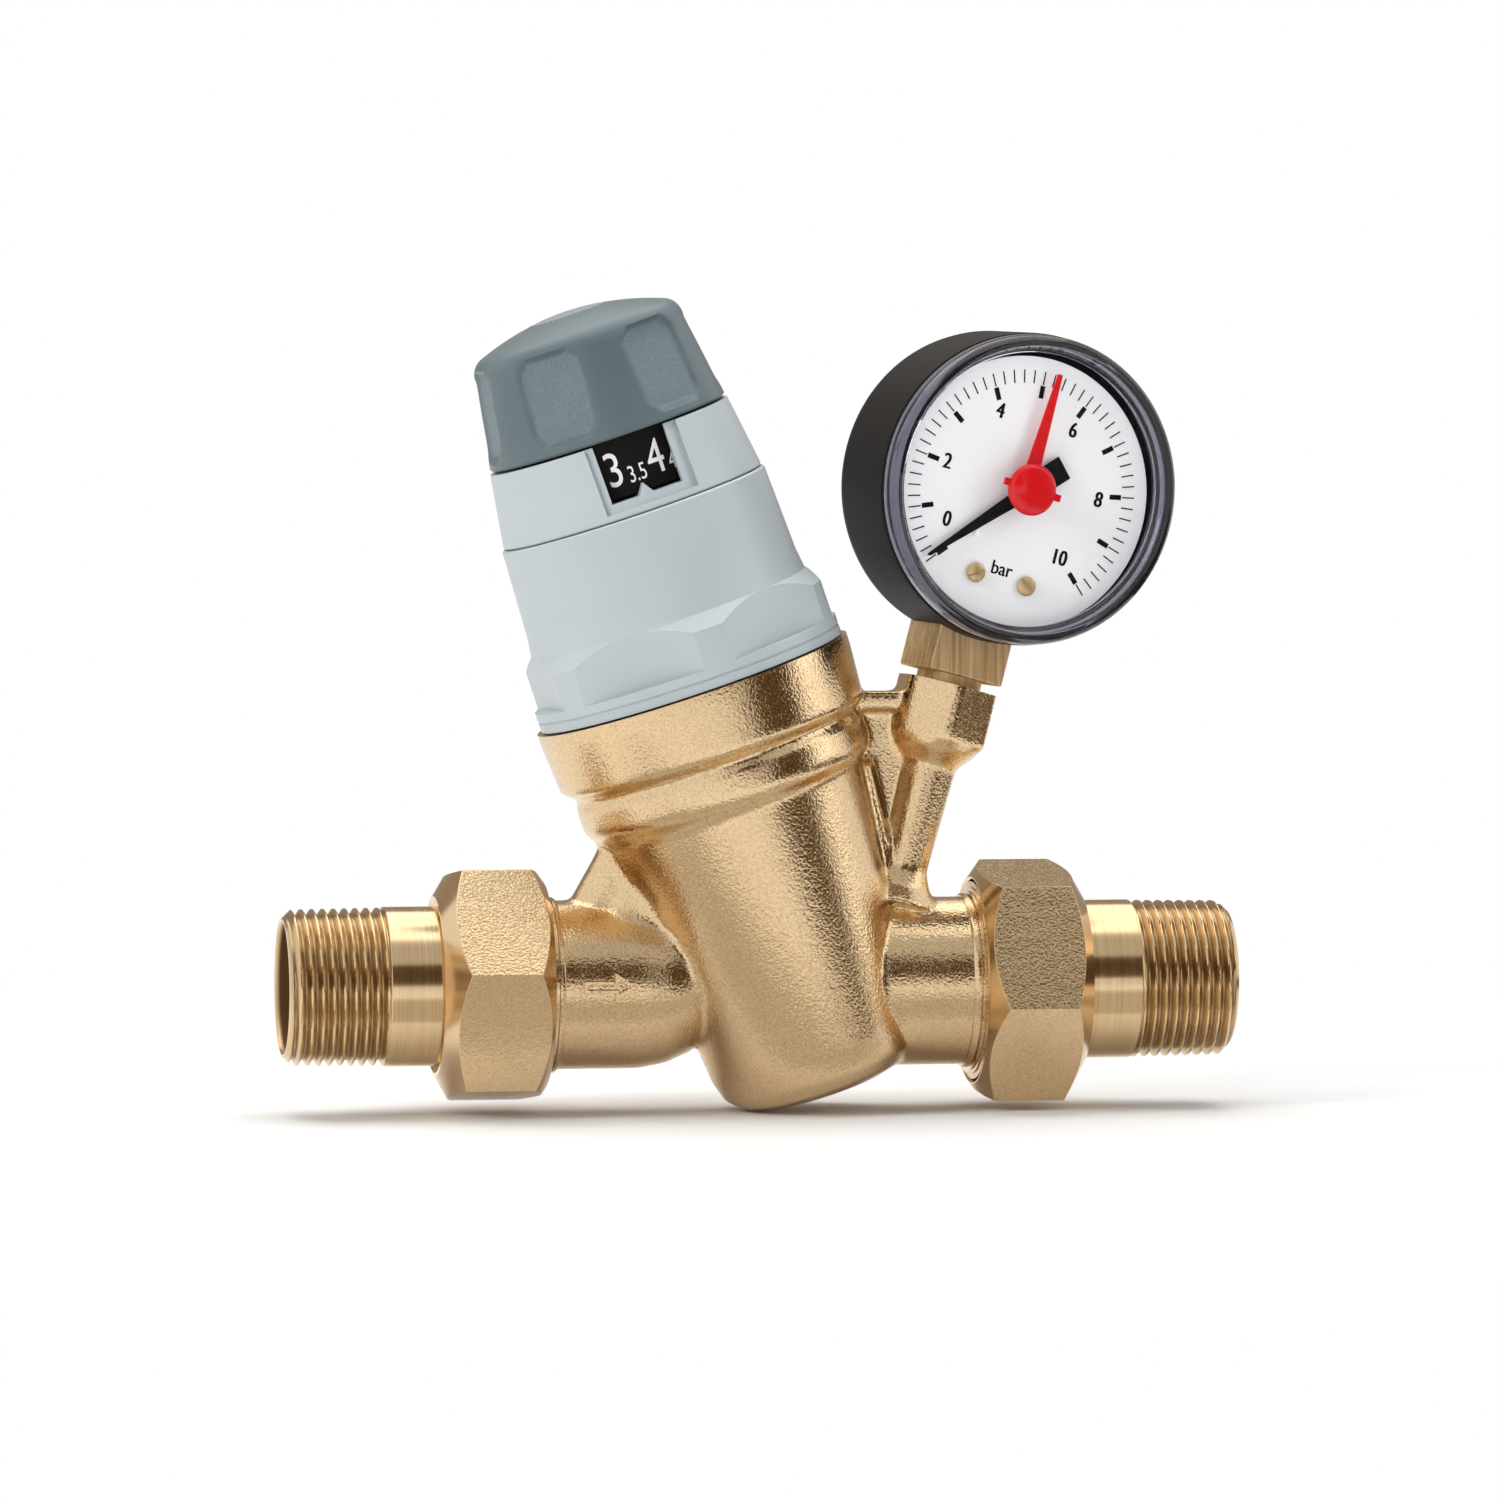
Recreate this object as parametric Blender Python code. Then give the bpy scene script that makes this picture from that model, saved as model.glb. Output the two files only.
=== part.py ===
# Inline pressure reducing valve: union ends, inclined barrel, adjusting knob with scale, gauge.
# Metres. X runs along the pipe from inlet to outlet, Z is up and the dial looks toward -Y.

import math

import bmesh
import bpy
from mathutils import Matrix, Vector

# fits
SEAT_GAP = 0.0003
RUN_GAP = 0.0004

# pipe line and unions
FACE_TO_FACE = 0.160
TAIL_THREAD_RADIUS = 0.01322
TAIL_THREAD_LENGTH = 0.0168
TAIL_SHANK_RADIUS = 0.0133
TAIL_BORE_RADIUS = 0.0104
TAIL_FLANGE_RADIUS = 0.0149
TAIL_FLANGE_THICKNESS = 0.0032
GASKET_THICKNESS = 0.002
UNION_HALF_SPAN = 0.044
UNION_THREAD_RADIUS = 0.01662
NUT_ACROSS_FLATS = 0.0368
NUT_LENGTH = 0.0182
NUT_LIP = 0.0045
INLET_NUT_TURN = math.radians(8.4)
OUTLET_NUT_TURN = math.radians(9.5)

# cast body, barrel heights measured along the barrel axis from the pipe axis
BARREL_TILT = math.radians(18.7)
BARREL_SHIFT = 0.0059
BARREL_DEPTH = 0.0189
BARREL_FOOT_RADIUS = 0.0181
BARREL_TOP_RADIUS = 0.0227
BARREL_TOP = 0.0322
BAND_RADIUS = 0.0250
COLLAR_RADIUS = 0.0273
COLLAR_TOP = 0.0530
NECK_RADIUS = 0.0141
BODY_BORE_RADIUS = 0.0098
CAST_GRAIN = 0.0008
BEAD_RADIUS = 0.0018
BEAD_OUT = 0.0030
BEAD_FOOT = 0.0085
BEAD_TOP = 0.0312

# gauge boss on the body
BOSS_X = 0.0324
BOSS_Z = 0.0497
BOSS_LEAN = math.radians(14.5)
BOSS_NOD = math.radians(-2)
BOSS_ACROSS_FLATS = 0.0156
BOSS_TURN = math.radians(4.5)
BOSS_HEIGHT = 0.0102
COLUMN_RADIUS = 0.0048
GAUGE_THREAD_RADIUS = 0.0062
GAUGE_THREAD_LENGTH = 0.0085

# cavity and cartridge
SUMP_RADIUS = 0.0130
LAND_RADIUS = 0.0113
LAND_HALF = 0.0030
CHAMBER_RADIUS = 0.0160
UPPER_LAND_RADIUS = 0.0150
UPPER_LAND_HEIGHT = 0.0090
SENSING_RADIUS = 0.0200
SENSING_DEPTH = 0.0070
LEDGE_DROP = 0.0130
LEDGE = COLLAR_TOP - LEDGE_DROP
SENSING_FLOOR = LEDGE - SENSING_DEPTH
UPPER_LAND_FOOT = SENSING_FLOOR - UPPER_LAND_HEIGHT
COLLAR_BORE_RADIUS = 0.0230
RING_SECTION = 0.0008
STEM_RADIUS = 0.0030
SEAT_BORE_RADIUS = 0.0058
SHUTTER_RADIUS = 0.0088
STROKE = 0.0025
PLATE_RADIUS = 0.0145
PLATE_THICKNESS = 0.0020
DIAPHRAGM_THICKNESS = 0.0015
CLAMP_THICKNESS = 0.0012
STEM_NUT_HEIGHT = 0.0040

# bonnet, each height built on the one below it
FLANGE_RADIUS = 0.0264
FLANGE_FOOT_HEIGHT = 0.0033
HEX_ACROSS_FLATS = 0.0481
HEX_HEIGHT = 0.0100
HEX_TURN = math.radians(4)
WAIST_RISE = 0.0060
CELL_RISE = 0.0130
CEILING_THICKNESS = 0.0048
SHOULDER_DROP = 0.0028
BONNET_WAIST_RADIUS = 0.0236
BONNET_TOP_RADIUS = 0.0230
BONNET_WALL = 0.0030
HEX_TOP = COLLAR_TOP + HEX_HEIGHT
BONNET_WAIST = HEX_TOP + WAIST_RISE
CEILING = BONNET_WAIST + CELL_RISE
DECK = CEILING + CEILING_THICKNESS
SHOULDER = DECK - SHOULDER_DROP

# spring and adjuster
SPRING_RADIUS = 0.0110
SPRING_WIRE_RADIUS = 0.0016
SPRING_TURNS = 5.0
SPRING_POINTS = 10
FOLLOWER_THICKNESS = 0.0040
FOLLOWER_DROP = 0.0104
FOLLOWER_HEIGHT = CEILING - FOLLOWER_DROP
SCREW_RADIUS = 0.0050
SCREW_SQUARE = 0.0080
WASHER_THICKNESS = 0.0010

# indicator ring, drum and knob
RING_FOOT_RADIUS = 0.0226
RING_TOP_RADIUS = 0.0208
RING_BORE_RADIUS = 0.0190
RING_HEIGHT = 0.0099
RING_TOP = DECK + RING_HEIGHT
WINDOW_WIDTH = 0.0124
WINDOW_SILL = DECK
DRUM_WALL = 0.0022
KNOB_FOOT_RADIUS = 0.0206
KNOB_CROWN_RADIUS = 0.0184
KNOB_HEIGHT = 0.0185
KNOB_DOME = 0.0033
KNOB_EDGE = RING_TOP + KNOB_HEIGHT
KNOB_TOP = KNOB_EDGE + KNOB_DOME
KNOB_SCREW_LENGTH = 0.0080
KNOB_WALL = 0.0024
KNOB_ROUND = 0.0020
HUB_RADIUS = 0.0090
GRIP_WIDTH = 0.0116
GRIP_DEPTH = 0.0008
CAP_RADIUS = 0.0065
CAP_THICKNESS = 0.0016

# gauge, depths measured from the stem axis, front is negative
GAUGE_LIFT = 0.0336
GAUGE_TURN = math.radians(12.4)
CASE_RADIUS = 0.0261
CASE_WALL = 0.0016
CASE_FRONT = -0.0121
CASE_BACK = 0.0082
CASE_RISE = 0.0007
SOCKET_SQUARE = 0.0135
SOCKET_NECK_RADIUS = 0.0055
SOCKET_NECK_LENGTH = 0.0016
SOCKET_TOP = -0.0130
WINDOW_FRONT = -0.0166
WINDOW_RADIUS = 0.0258
WINDOW_PANE = -0.0141
PANE_THICKNESS = 0.0011
PANE_RADIUS = 0.0232
DIAL_FACE = -0.0108
DIAL_RADIUS = 0.0229
DIAL_THICKNESS = 0.0005
POINTER_LENGTH = 0.0202
POINTER_THICKNESS = 0.0004
HAND_LENGTH = 0.0200
SET_SHAFT_RADIUS = 0.0011
HAND_READING = 5.1
DIAL_SPAN_BAR = 10.0
DIAL_SWEEP = math.radians(270)
DIAL_SCREW_X = 0.00475
DIAL_SCREW_Z = -0.01485
ZERO_PIN_REACH = 0.0108
ZERO_PIN_ANGLE = math.radians(-142.5)
GEAR_MODULE = 0.0004
PINION_TEETH = 9
SECTOR_TEETH = 54
GEAR_WIDTH = 0.0010
PILLAR_RADIUS = 0.0019
TUBE_RADIUS = 0.0170
TUBE_WIDTH = 0.0060
TUBE_THICKNESS = 0.0022

ROUND = 32
SMALL_ROUND = 18


def clear_scene():
    for item in list(bpy.data.objects):
        bpy.data.objects.remove(item)


def finish(name, colour, roughness, metallic):
    look = bpy.data.materials.new(name)
    look.use_nodes = True
    shader = look.node_tree.nodes["Principled BSDF"]
    shader.inputs["Base Color"].default_value = (*colour, 1.0)
    shader.inputs["Roughness"].default_value = roughness
    shader.inputs["Metallic"].default_value = metallic
    look.diffuse_color = (*colour, 1.0)
    return look


def frame_at(name, location, rotation=(0.0, 0.0, 0.0), parent=None):
    holder = bpy.data.objects.new(name, None)
    holder.empty_display_size = 0.01
    holder.location = location
    holder.rotation_euler = rotation
    holder.parent = parent
    bpy.context.collection.objects.link(holder)
    return holder


def solid(name, shape, look, parent=None, crease=math.radians(32)):
    for face in shape.faces:
        face.smooth = True
    for edge in shape.edges:
        edge.smooth = not edge.is_manifold or edge.calc_face_angle() < crease
    mesh = bpy.data.meshes.new(name)
    shape.to_mesh(mesh)
    shape.free()
    body = bpy.data.objects.new(name, mesh)
    body.data.materials.append(look)
    body.parent = parent
    bpy.context.collection.objects.link(body)
    return body


def turned(profile, steps=ROUND):
    # a lathe shape about Z from (radius, height) points, closed on itself or on the axis
    shape = bmesh.new()
    points = [shape.verts.new((radius, 0.0, height)) for radius, height in profile]
    chain = list(zip(points, points[1:]))
    if profile[0][0] > 0.0:
        chain.append((points[-1], points[0]))
    edges = [shape.edges.new(pair) for pair in chain]
    bmesh.ops.spin(
        shape,
        geom=points + edges,
        cent=(0.0, 0.0, 0.0),
        axis=(0.0, 0.0, 1.0),
        angle=math.tau,
        steps=steps,
        use_merge=True,
    )
    bmesh.ops.remove_doubles(shape, verts=shape.verts, dist=1e-6)
    bmesh.ops.recalc_face_normals(shape, faces=shape.faces)
    return shape


def tube(inner, outer, foot, top, steps=ROUND):
    return turned([(outer, foot), (outer, top), (inner, top), (inner, foot)], steps)


def rod(radius, foot, top, steps=SMALL_ROUND):
    return turned([(0.0, foot), (radius, foot), (radius, top), (0.0, top)], steps)


def plate(outline, front, back):
    # an outline of (x, z) points drawn in the XZ plane, given depth along Y
    shape = bmesh.new()
    corners = [shape.verts.new((x, front, z)) for x, z in outline]
    face = shape.faces.new(corners)
    sweep = bmesh.ops.extrude_face_region(shape, geom=[face])
    moved = [item for item in sweep["geom"] if isinstance(item, bmesh.types.BMVert)]
    bmesh.ops.translate(shape, verts=moved, vec=(0.0, back - front, 0.0))
    bmesh.ops.recalc_face_normals(shape, faces=shape.faces)
    return shape


def block(low, high):
    shape = bmesh.new()
    bmesh.ops.create_cube(shape, size=1.0)
    middle = (Vector(low) + Vector(high)) / 2.0
    span = Vector(high) - Vector(low)
    bmesh.ops.transform(shape, matrix=Matrix.Diagonal((*span, 1.0)), verts=shape.verts)
    bmesh.ops.translate(shape, verts=shape.verts, vec=middle)
    return shape


def prism(across_flats, foot, top, sides=6, turn=0.0):
    # turn 0 puts a corner toward -Y
    shape = bmesh.new()
    bmesh.ops.create_cone(
        shape,
        cap_ends=True,
        segments=sides,
        radius1=across_flats / 2.0 / math.cos(math.pi / sides),
        radius2=across_flats / 2.0 / math.cos(math.pi / sides),
        depth=top - foot,
    )
    first = min(shape.verts, key=lambda corner: (round(corner.co.z, 6), round(corner.co.x, 6), corner.co.y))
    lead = math.atan2(first.co.y, first.co.x)
    bmesh.ops.rotate(shape, verts=shape.verts, matrix=Matrix.Rotation(turn - math.pi / 2.0 - lead, 3, "Z"))
    bmesh.ops.translate(shape, verts=shape.verts, vec=(0.0, 0.0, (foot + top) / 2.0))
    return shape


def moved(shape, matrix):
    bmesh.ops.transform(shape, matrix=matrix, verts=shape.verts)
    return shape


def gathered(shapes):
    whole = bmesh.new()
    for shape in shapes:
        part = bpy.data.meshes.new("part")
        shape.to_mesh(part)
        shape.free()
        whole.from_mesh(part)
        bpy.data.meshes.remove(part)
    return whole


def shape_with(target, tool, operation="DIFFERENCE"):
    change = target.modifiers.new(tool.name, "BOOLEAN")
    change.object = tool
    change.operation = operation
    change.solver = "EXACT"
    tool.hide_render = True
    tool.display_type = "WIRE"


def circle(centre_x, centre_z, radius, count, start=0.0, end=math.tau):
    whole = abs(end - start - math.tau) < 1e-9
    last = count if whole else count - 1
    return [
        (
            centre_x + radius * math.sin(start + (end - start) * step / last),
            centre_z + radius * math.cos(start + (end - start) * step / last),
        )
        for step in range(count)
    ]


BRASS = (0.62, 0.41, 0.17)
LIGHT_GREY = (0.53, 0.59, 0.62)
SLATE = (0.15, 0.20, 0.22)


def make_looks():
    return {
        "cast_brass": finish("cast_brass", BRASS, 0.38, 1.0),
        "turned_brass": finish("turned_brass", (0.66, 0.45, 0.20), 0.25, 1.0),
        "steel": finish("steel", (0.56, 0.56, 0.58), 0.3, 1.0),
        "rubber": finish("rubber", (0.02, 0.02, 0.02), 0.7, 0.0),
        "fibre": finish("fibre", (0.10, 0.22, 0.13), 0.8, 0.0),
        "light_grey": finish("light_grey", LIGHT_GREY, 0.42, 0.0),
        "slate": finish("slate", SLATE, 0.5, 0.0),
        "pale_slate": finish("pale_slate", (0.22, 0.27, 0.30), 0.5, 0.0),
        "black": finish("black", (0.012, 0.011, 0.011), 0.45, 0.0),
        "clear": finish("clear", (0.9, 0.92, 0.95), 0.05, 0.0),
        "white": finish("white", (0.86, 0.86, 0.88), 0.4, 0.0),
        "red": finish("red", (0.75, 0.005, 0.012), 0.35, 0.0),
        "nylon": finish("nylon", (0.75, 0.73, 0.66), 0.5, 0.0),
    }


def union_spigot():
    # male end of the body that the union nut is screwed on, about Z outward
    foot = UNION_HALF_SPAN - 0.0090
    return turned(
        [
            (0.0, foot),
            (NECK_RADIUS + 0.0003, foot),
            (UNION_THREAD_RADIUS - 0.0003, foot + 0.0014),
            (UNION_THREAD_RADIUS, foot + 0.0022),
            (UNION_THREAD_RADIUS, UNION_HALF_SPAN - 0.0010),
            (UNION_THREAD_RADIUS - 0.0010, UNION_HALF_SPAN),
            (0.0, UNION_HALF_SPAN),
        ]
    )


def barrel_radius(height):
    foot = -BARREL_DEPTH + 0.0072
    share = (height - foot) / (BARREL_TOP - foot)
    return BARREL_FOOT_RADIUS + (BARREL_TOP_RADIUS - BARREL_FOOT_RADIUS) * share


def barrel_blank():
    depth = -BARREL_DEPTH
    foot = BARREL_FOOT_RADIUS
    return turned(
        [
            (0.0, depth),
            (foot * 0.58, depth),
            (foot * 0.80, depth + 0.0012),
            (foot * 0.94, depth + 0.0036),
            (foot, depth + 0.0072),
            (BARREL_TOP_RADIUS, BARREL_TOP),
            (BAND_RADIUS - 0.0004, BARREL_TOP + 0.0020),
            (BAND_RADIUS, BARREL_TOP + 0.0036),
            (BAND_RADIUS, BARREL_TOP + 0.0066),
            (BAND_RADIUS - 0.0008, BARREL_TOP + 0.0082),
            (COLLAR_RADIUS - 0.0006, BARREL_TOP + 0.0104),
            (COLLAR_RADIUS, COLLAR_TOP - 0.0020),
            (COLLAR_RADIUS, COLLAR_TOP + 0.0020),
            (0.0, COLLAR_TOP + 0.0020),
        ],
        48,
    )


def body_blank(barrel_place, boss_place):
    along = Matrix.Rotation(math.pi / 2.0, 4, "Y")
    inlet_neck = turned(
        [
            (0.0, -UNION_HALF_SPAN + 0.0080),
            (NECK_RADIUS, -UNION_HALF_SPAN + 0.0080),
            (NECK_RADIUS, -0.0205),
            (NECK_RADIUS - 0.0008, -0.0160),
            (NECK_RADIUS - 0.0026, -0.0118),
            (NECK_RADIUS * 0.55, -0.0068),
            (0.0, -0.0040),
        ]
    )
    outlet_neck = turned(
        [
            (0.0, UNION_HALF_SPAN - 0.0080),
            (NECK_RADIUS, UNION_HALF_SPAN - 0.0080),
            (NECK_RADIUS, 0.0140),
            (NECK_RADIUS - 0.0020, 0.0080),
            (0.0, 0.0060),
        ]
    )
    boss = prism(BOSS_ACROSS_FLATS, -BOSS_HEIGHT, 0.0020, 6, BOSS_TURN)
    waist = BOSS_ACROSS_FLATS / 2.0
    column = turned(
        [
            (0.0, -BOSS_HEIGHT + 0.0020),
            (waist, -BOSS_HEIGHT + 0.0020),
            (waist - 0.0004, -BOSS_HEIGHT - 0.0006),
            (COLUMN_RADIUS, -BOSS_HEIGHT - 0.0034),
            (COLUMN_RADIUS - 0.0006, -0.0315),
            (COLUMN_RADIUS + 0.0006, -0.0345),
            (COLUMN_RADIUS + 0.0036, -0.0375),
            (0.0, -0.0390),
        ],
        24,
    )
    web = plate(
        [(0.008, BOSS_Z - 0.004), (BOSS_X - 0.004, BOSS_Z - 0.004), (BOSS_X - 0.008, 0.016), (0.008, 0.010)],
        -0.0022,
        0.0022,
    )
    bridge = plate(
        [
            (0.008, BOSS_Z - 0.0010),
            (BOSS_X - 0.003, BOSS_Z - 0.0010),
            (BOSS_X - 0.003, BOSS_Z - 0.0044),
            (0.008, BOSS_Z - 0.0044),
        ],
        -0.0040,
        0.0040,
    )
    beads = []
    for side in (-1.0, 1.0):
        low = barrel_place @ Vector((barrel_radius(BEAD_FOOT), side * BEAD_OUT, BEAD_FOOT))
        high = barrel_place @ Vector((barrel_radius(BEAD_TOP), side * BEAD_OUT, BEAD_TOP))
        bead = rod(BEAD_RADIUS, 0.0, (high - low).length, 12)
        turn = (high - low).to_track_quat("Z", "Y").to_matrix().to_4x4()
        beads.append(moved(bead, Matrix.Translation(low) @ turn))
    ridge = turned([(0.0, 0.0), (0.0070, 0.0), (0.0040, 0.0200), (0.0, 0.0200)], 20)
    ridge_place = Matrix.Translation((-0.0271, 0.0, 0.0080)) @ Matrix.Rotation(math.radians(20), 4, "Y")
    return gathered(
        [
            moved(barrel_blank(), barrel_place),
            moved(inlet_neck, along),
            moved(outlet_neck, along),
            moved(boss, boss_place),
            moved(column, boss_place),
            web,
            bridge,
            *beads,
            moved(ridge, ridge_place),
        ]
    )


def build_body(looks, barrel, boss):
    barrel_place = Matrix.Translation(barrel.location) @ Matrix.Rotation(-BARREL_TILT, 4, "Y")
    leaning = Matrix.Rotation(BOSS_LEAN, 4, "Y") @ Matrix.Rotation(BOSS_NOD, 4, "X")
    boss_place = Matrix.Translation(boss.location) @ leaning
    body = solid("valve_body", body_blank(barrel_place, boss_place), looks["cast_brass"])
    cast = body.modifiers.new("cast", "REMESH")
    cast.mode = "VOXEL"
    cast.voxel_size = CAST_GRAIN
    cast.use_smooth_shade = True
    blend = body.modifiers.new("blend", "SMOOTH")
    blend.factor = 0.5
    blend.iterations = 8
    coarse = body.modifiers.new("coarse", "DECIMATE")
    coarse.ratio = 0.036
    for side, turn in (("inlet", -1.0), ("outlet", 1.0)):
        spigot = solid(side + "_spigot", union_spigot(), looks["cast_brass"])
        spigot.rotation_euler = (0.0, turn * math.pi / 2.0, 0.0)
        shape_with(body, spigot, "UNION")
    cavity = solid(
        "cavity",
        turned(
            [
                (0.0, -BARREL_DEPTH + 0.0036),
                (SUMP_RADIUS - 0.0020, -BARREL_DEPTH + 0.0036),
                (SUMP_RADIUS, -BARREL_DEPTH + 0.0056),
                (SUMP_RADIUS, -LAND_HALF),
                (LAND_RADIUS, -LAND_HALF),
                (LAND_RADIUS, LAND_HALF),
                (CHAMBER_RADIUS, LAND_HALF),
                (CHAMBER_RADIUS, UPPER_LAND_FOOT - 0.0010),
                (UPPER_LAND_RADIUS, UPPER_LAND_FOOT),
                (UPPER_LAND_RADIUS, SENSING_FLOOR),
                (SENSING_RADIUS, SENSING_FLOOR),
                (SENSING_RADIUS, LEDGE),
                (COLLAR_BORE_RADIUS, LEDGE),
                (COLLAR_BORE_RADIUS, COLLAR_TOP),
                (COLLAR_RADIUS + 0.0060, COLLAR_TOP),
                (COLLAR_RADIUS + 0.0060, COLLAR_TOP + 0.0060),
                (0.0, COLLAR_TOP + 0.0060),
            ],
            28,
        ),
        looks["cast_brass"],
        barrel,
    )
    shape_with(body, cavity)
    inlet_bore = solid("inlet_bore", rod(BODY_BORE_RADIUS, 0.0105, 0.0600, 20), looks["cast_brass"])
    inlet_bore.rotation_euler = (0.0, -math.pi / 2.0, 0.0)
    shape_with(body, inlet_bore)
    outlet_bore = solid("outlet_bore", rod(BODY_BORE_RADIUS, 0.0256, 0.0600, 20), looks["cast_brass"])
    outlet_bore.rotation_euler = (0.0, math.pi / 2.0, 0.0)
    shape_with(body, outlet_bore)
    passage_shape = rod(0.0052, 0.0120, 0.0300, 16)
    bmesh.ops.scale(passage_shape, verts=passage_shape.verts, vec=(1.0, 1.5, 1.0))
    passage = solid("outlet_passage", passage_shape, looks["cast_brass"])
    passage.location = (0.0, 0.0, -0.0042)
    passage.rotation_euler = (0.0, math.pi / 2.0, 0.0)
    shape_with(body, passage)
    port = solid(
        "gauge_port",
        turned(
            [
                (0.0, -0.0530),
                (0.0015, -0.0530),
                (0.0015, -GAUGE_THREAD_LENGTH - 0.0030),
                (GAUGE_THREAD_RADIUS + SEAT_GAP, -GAUGE_THREAD_LENGTH - 0.0010),
                (GAUGE_THREAD_RADIUS + SEAT_GAP, 0.0),
                (BOSS_ACROSS_FLATS, 0.0),
                (BOSS_ACROSS_FLATS, 0.0040),
                (0.0, 0.0040),
            ],
            16,
        ),
        looks["cast_brass"],
        boss,
    )
    shape_with(body, port)


def build_union(looks, side, sign, nut_turn):
    lay = (0.0, sign * math.pi / 2.0, 0.0)
    gasket_foot = UNION_HALF_SPAN + SEAT_GAP
    flange_foot = gasket_foot + GASKET_THICKNESS + SEAT_GAP
    flange_top = flange_foot + TAIL_FLANGE_THICKNESS
    end = FACE_TO_FACE / 2.0
    thread_foot = end - TAIL_THREAD_LENGTH
    gasket = solid(
        side + "_gasket",
        tube(TAIL_BORE_RADIUS, TAIL_FLANGE_RADIUS, gasket_foot, gasket_foot + GASKET_THICKNESS, 24),
        looks["fibre"],
    )
    gasket.rotation_euler = lay
    tail = solid(
        side + "_tailpiece",
        turned(
            [
                (TAIL_FLANGE_RADIUS, flange_foot),
                (TAIL_FLANGE_RADIUS, flange_top),
                (TAIL_SHANK_RADIUS, flange_top),
                (TAIL_SHANK_RADIUS, thread_foot - 0.0006),
                (TAIL_THREAD_RADIUS - 0.0011, thread_foot),
                (TAIL_THREAD_RADIUS, thread_foot + 0.0008),
                (TAIL_THREAD_RADIUS, end - 0.0018),
                (TAIL_THREAD_RADIUS - 0.0016, end),
                (TAIL_BORE_RADIUS, end),
                (TAIL_BORE_RADIUS, flange_foot),
            ]
        ),
        looks["turned_brass"],
    )
    tail.rotation_euler = lay
    shelf = flange_top + SEAT_GAP
    nut_face = shelf + NUT_LIP
    nut_foot = nut_face - NUT_LENGTH
    hexagon = prism(NUT_ACROSS_FLATS, nut_foot, nut_face, 6, nut_turn)
    nut = solid(side + "_union_nut", hexagon, looks["cast_brass"])
    nut.rotation_euler = lay
    corner = NUT_ACROSS_FLATS / 2.0 / math.cos(math.pi / 6.0)
    envelope = solid(
        side + "_nut_round",
        turned(
            [
                (TAIL_SHANK_RADIUS + SEAT_GAP, nut_face),
                (corner - 0.0052, nut_face),
                (corner - 0.0012, nut_face - 0.0018),
                (corner + 0.0002, nut_face - 0.0036),
                (corner + 0.0002, nut_foot + 0.0036),
                (corner - 0.0014, nut_foot + 0.0019),
                (UNION_THREAD_RADIUS + SEAT_GAP + 0.0005, nut_foot),
                (UNION_THREAD_RADIUS + SEAT_GAP, nut_foot),
                (UNION_THREAD_RADIUS + SEAT_GAP, shelf),
                (TAIL_SHANK_RADIUS + SEAT_GAP, shelf),
            ]
        ),
        looks["cast_brass"],
    )
    envelope.rotation_euler = lay
    shape_with(nut, envelope, "INTERSECT")


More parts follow.
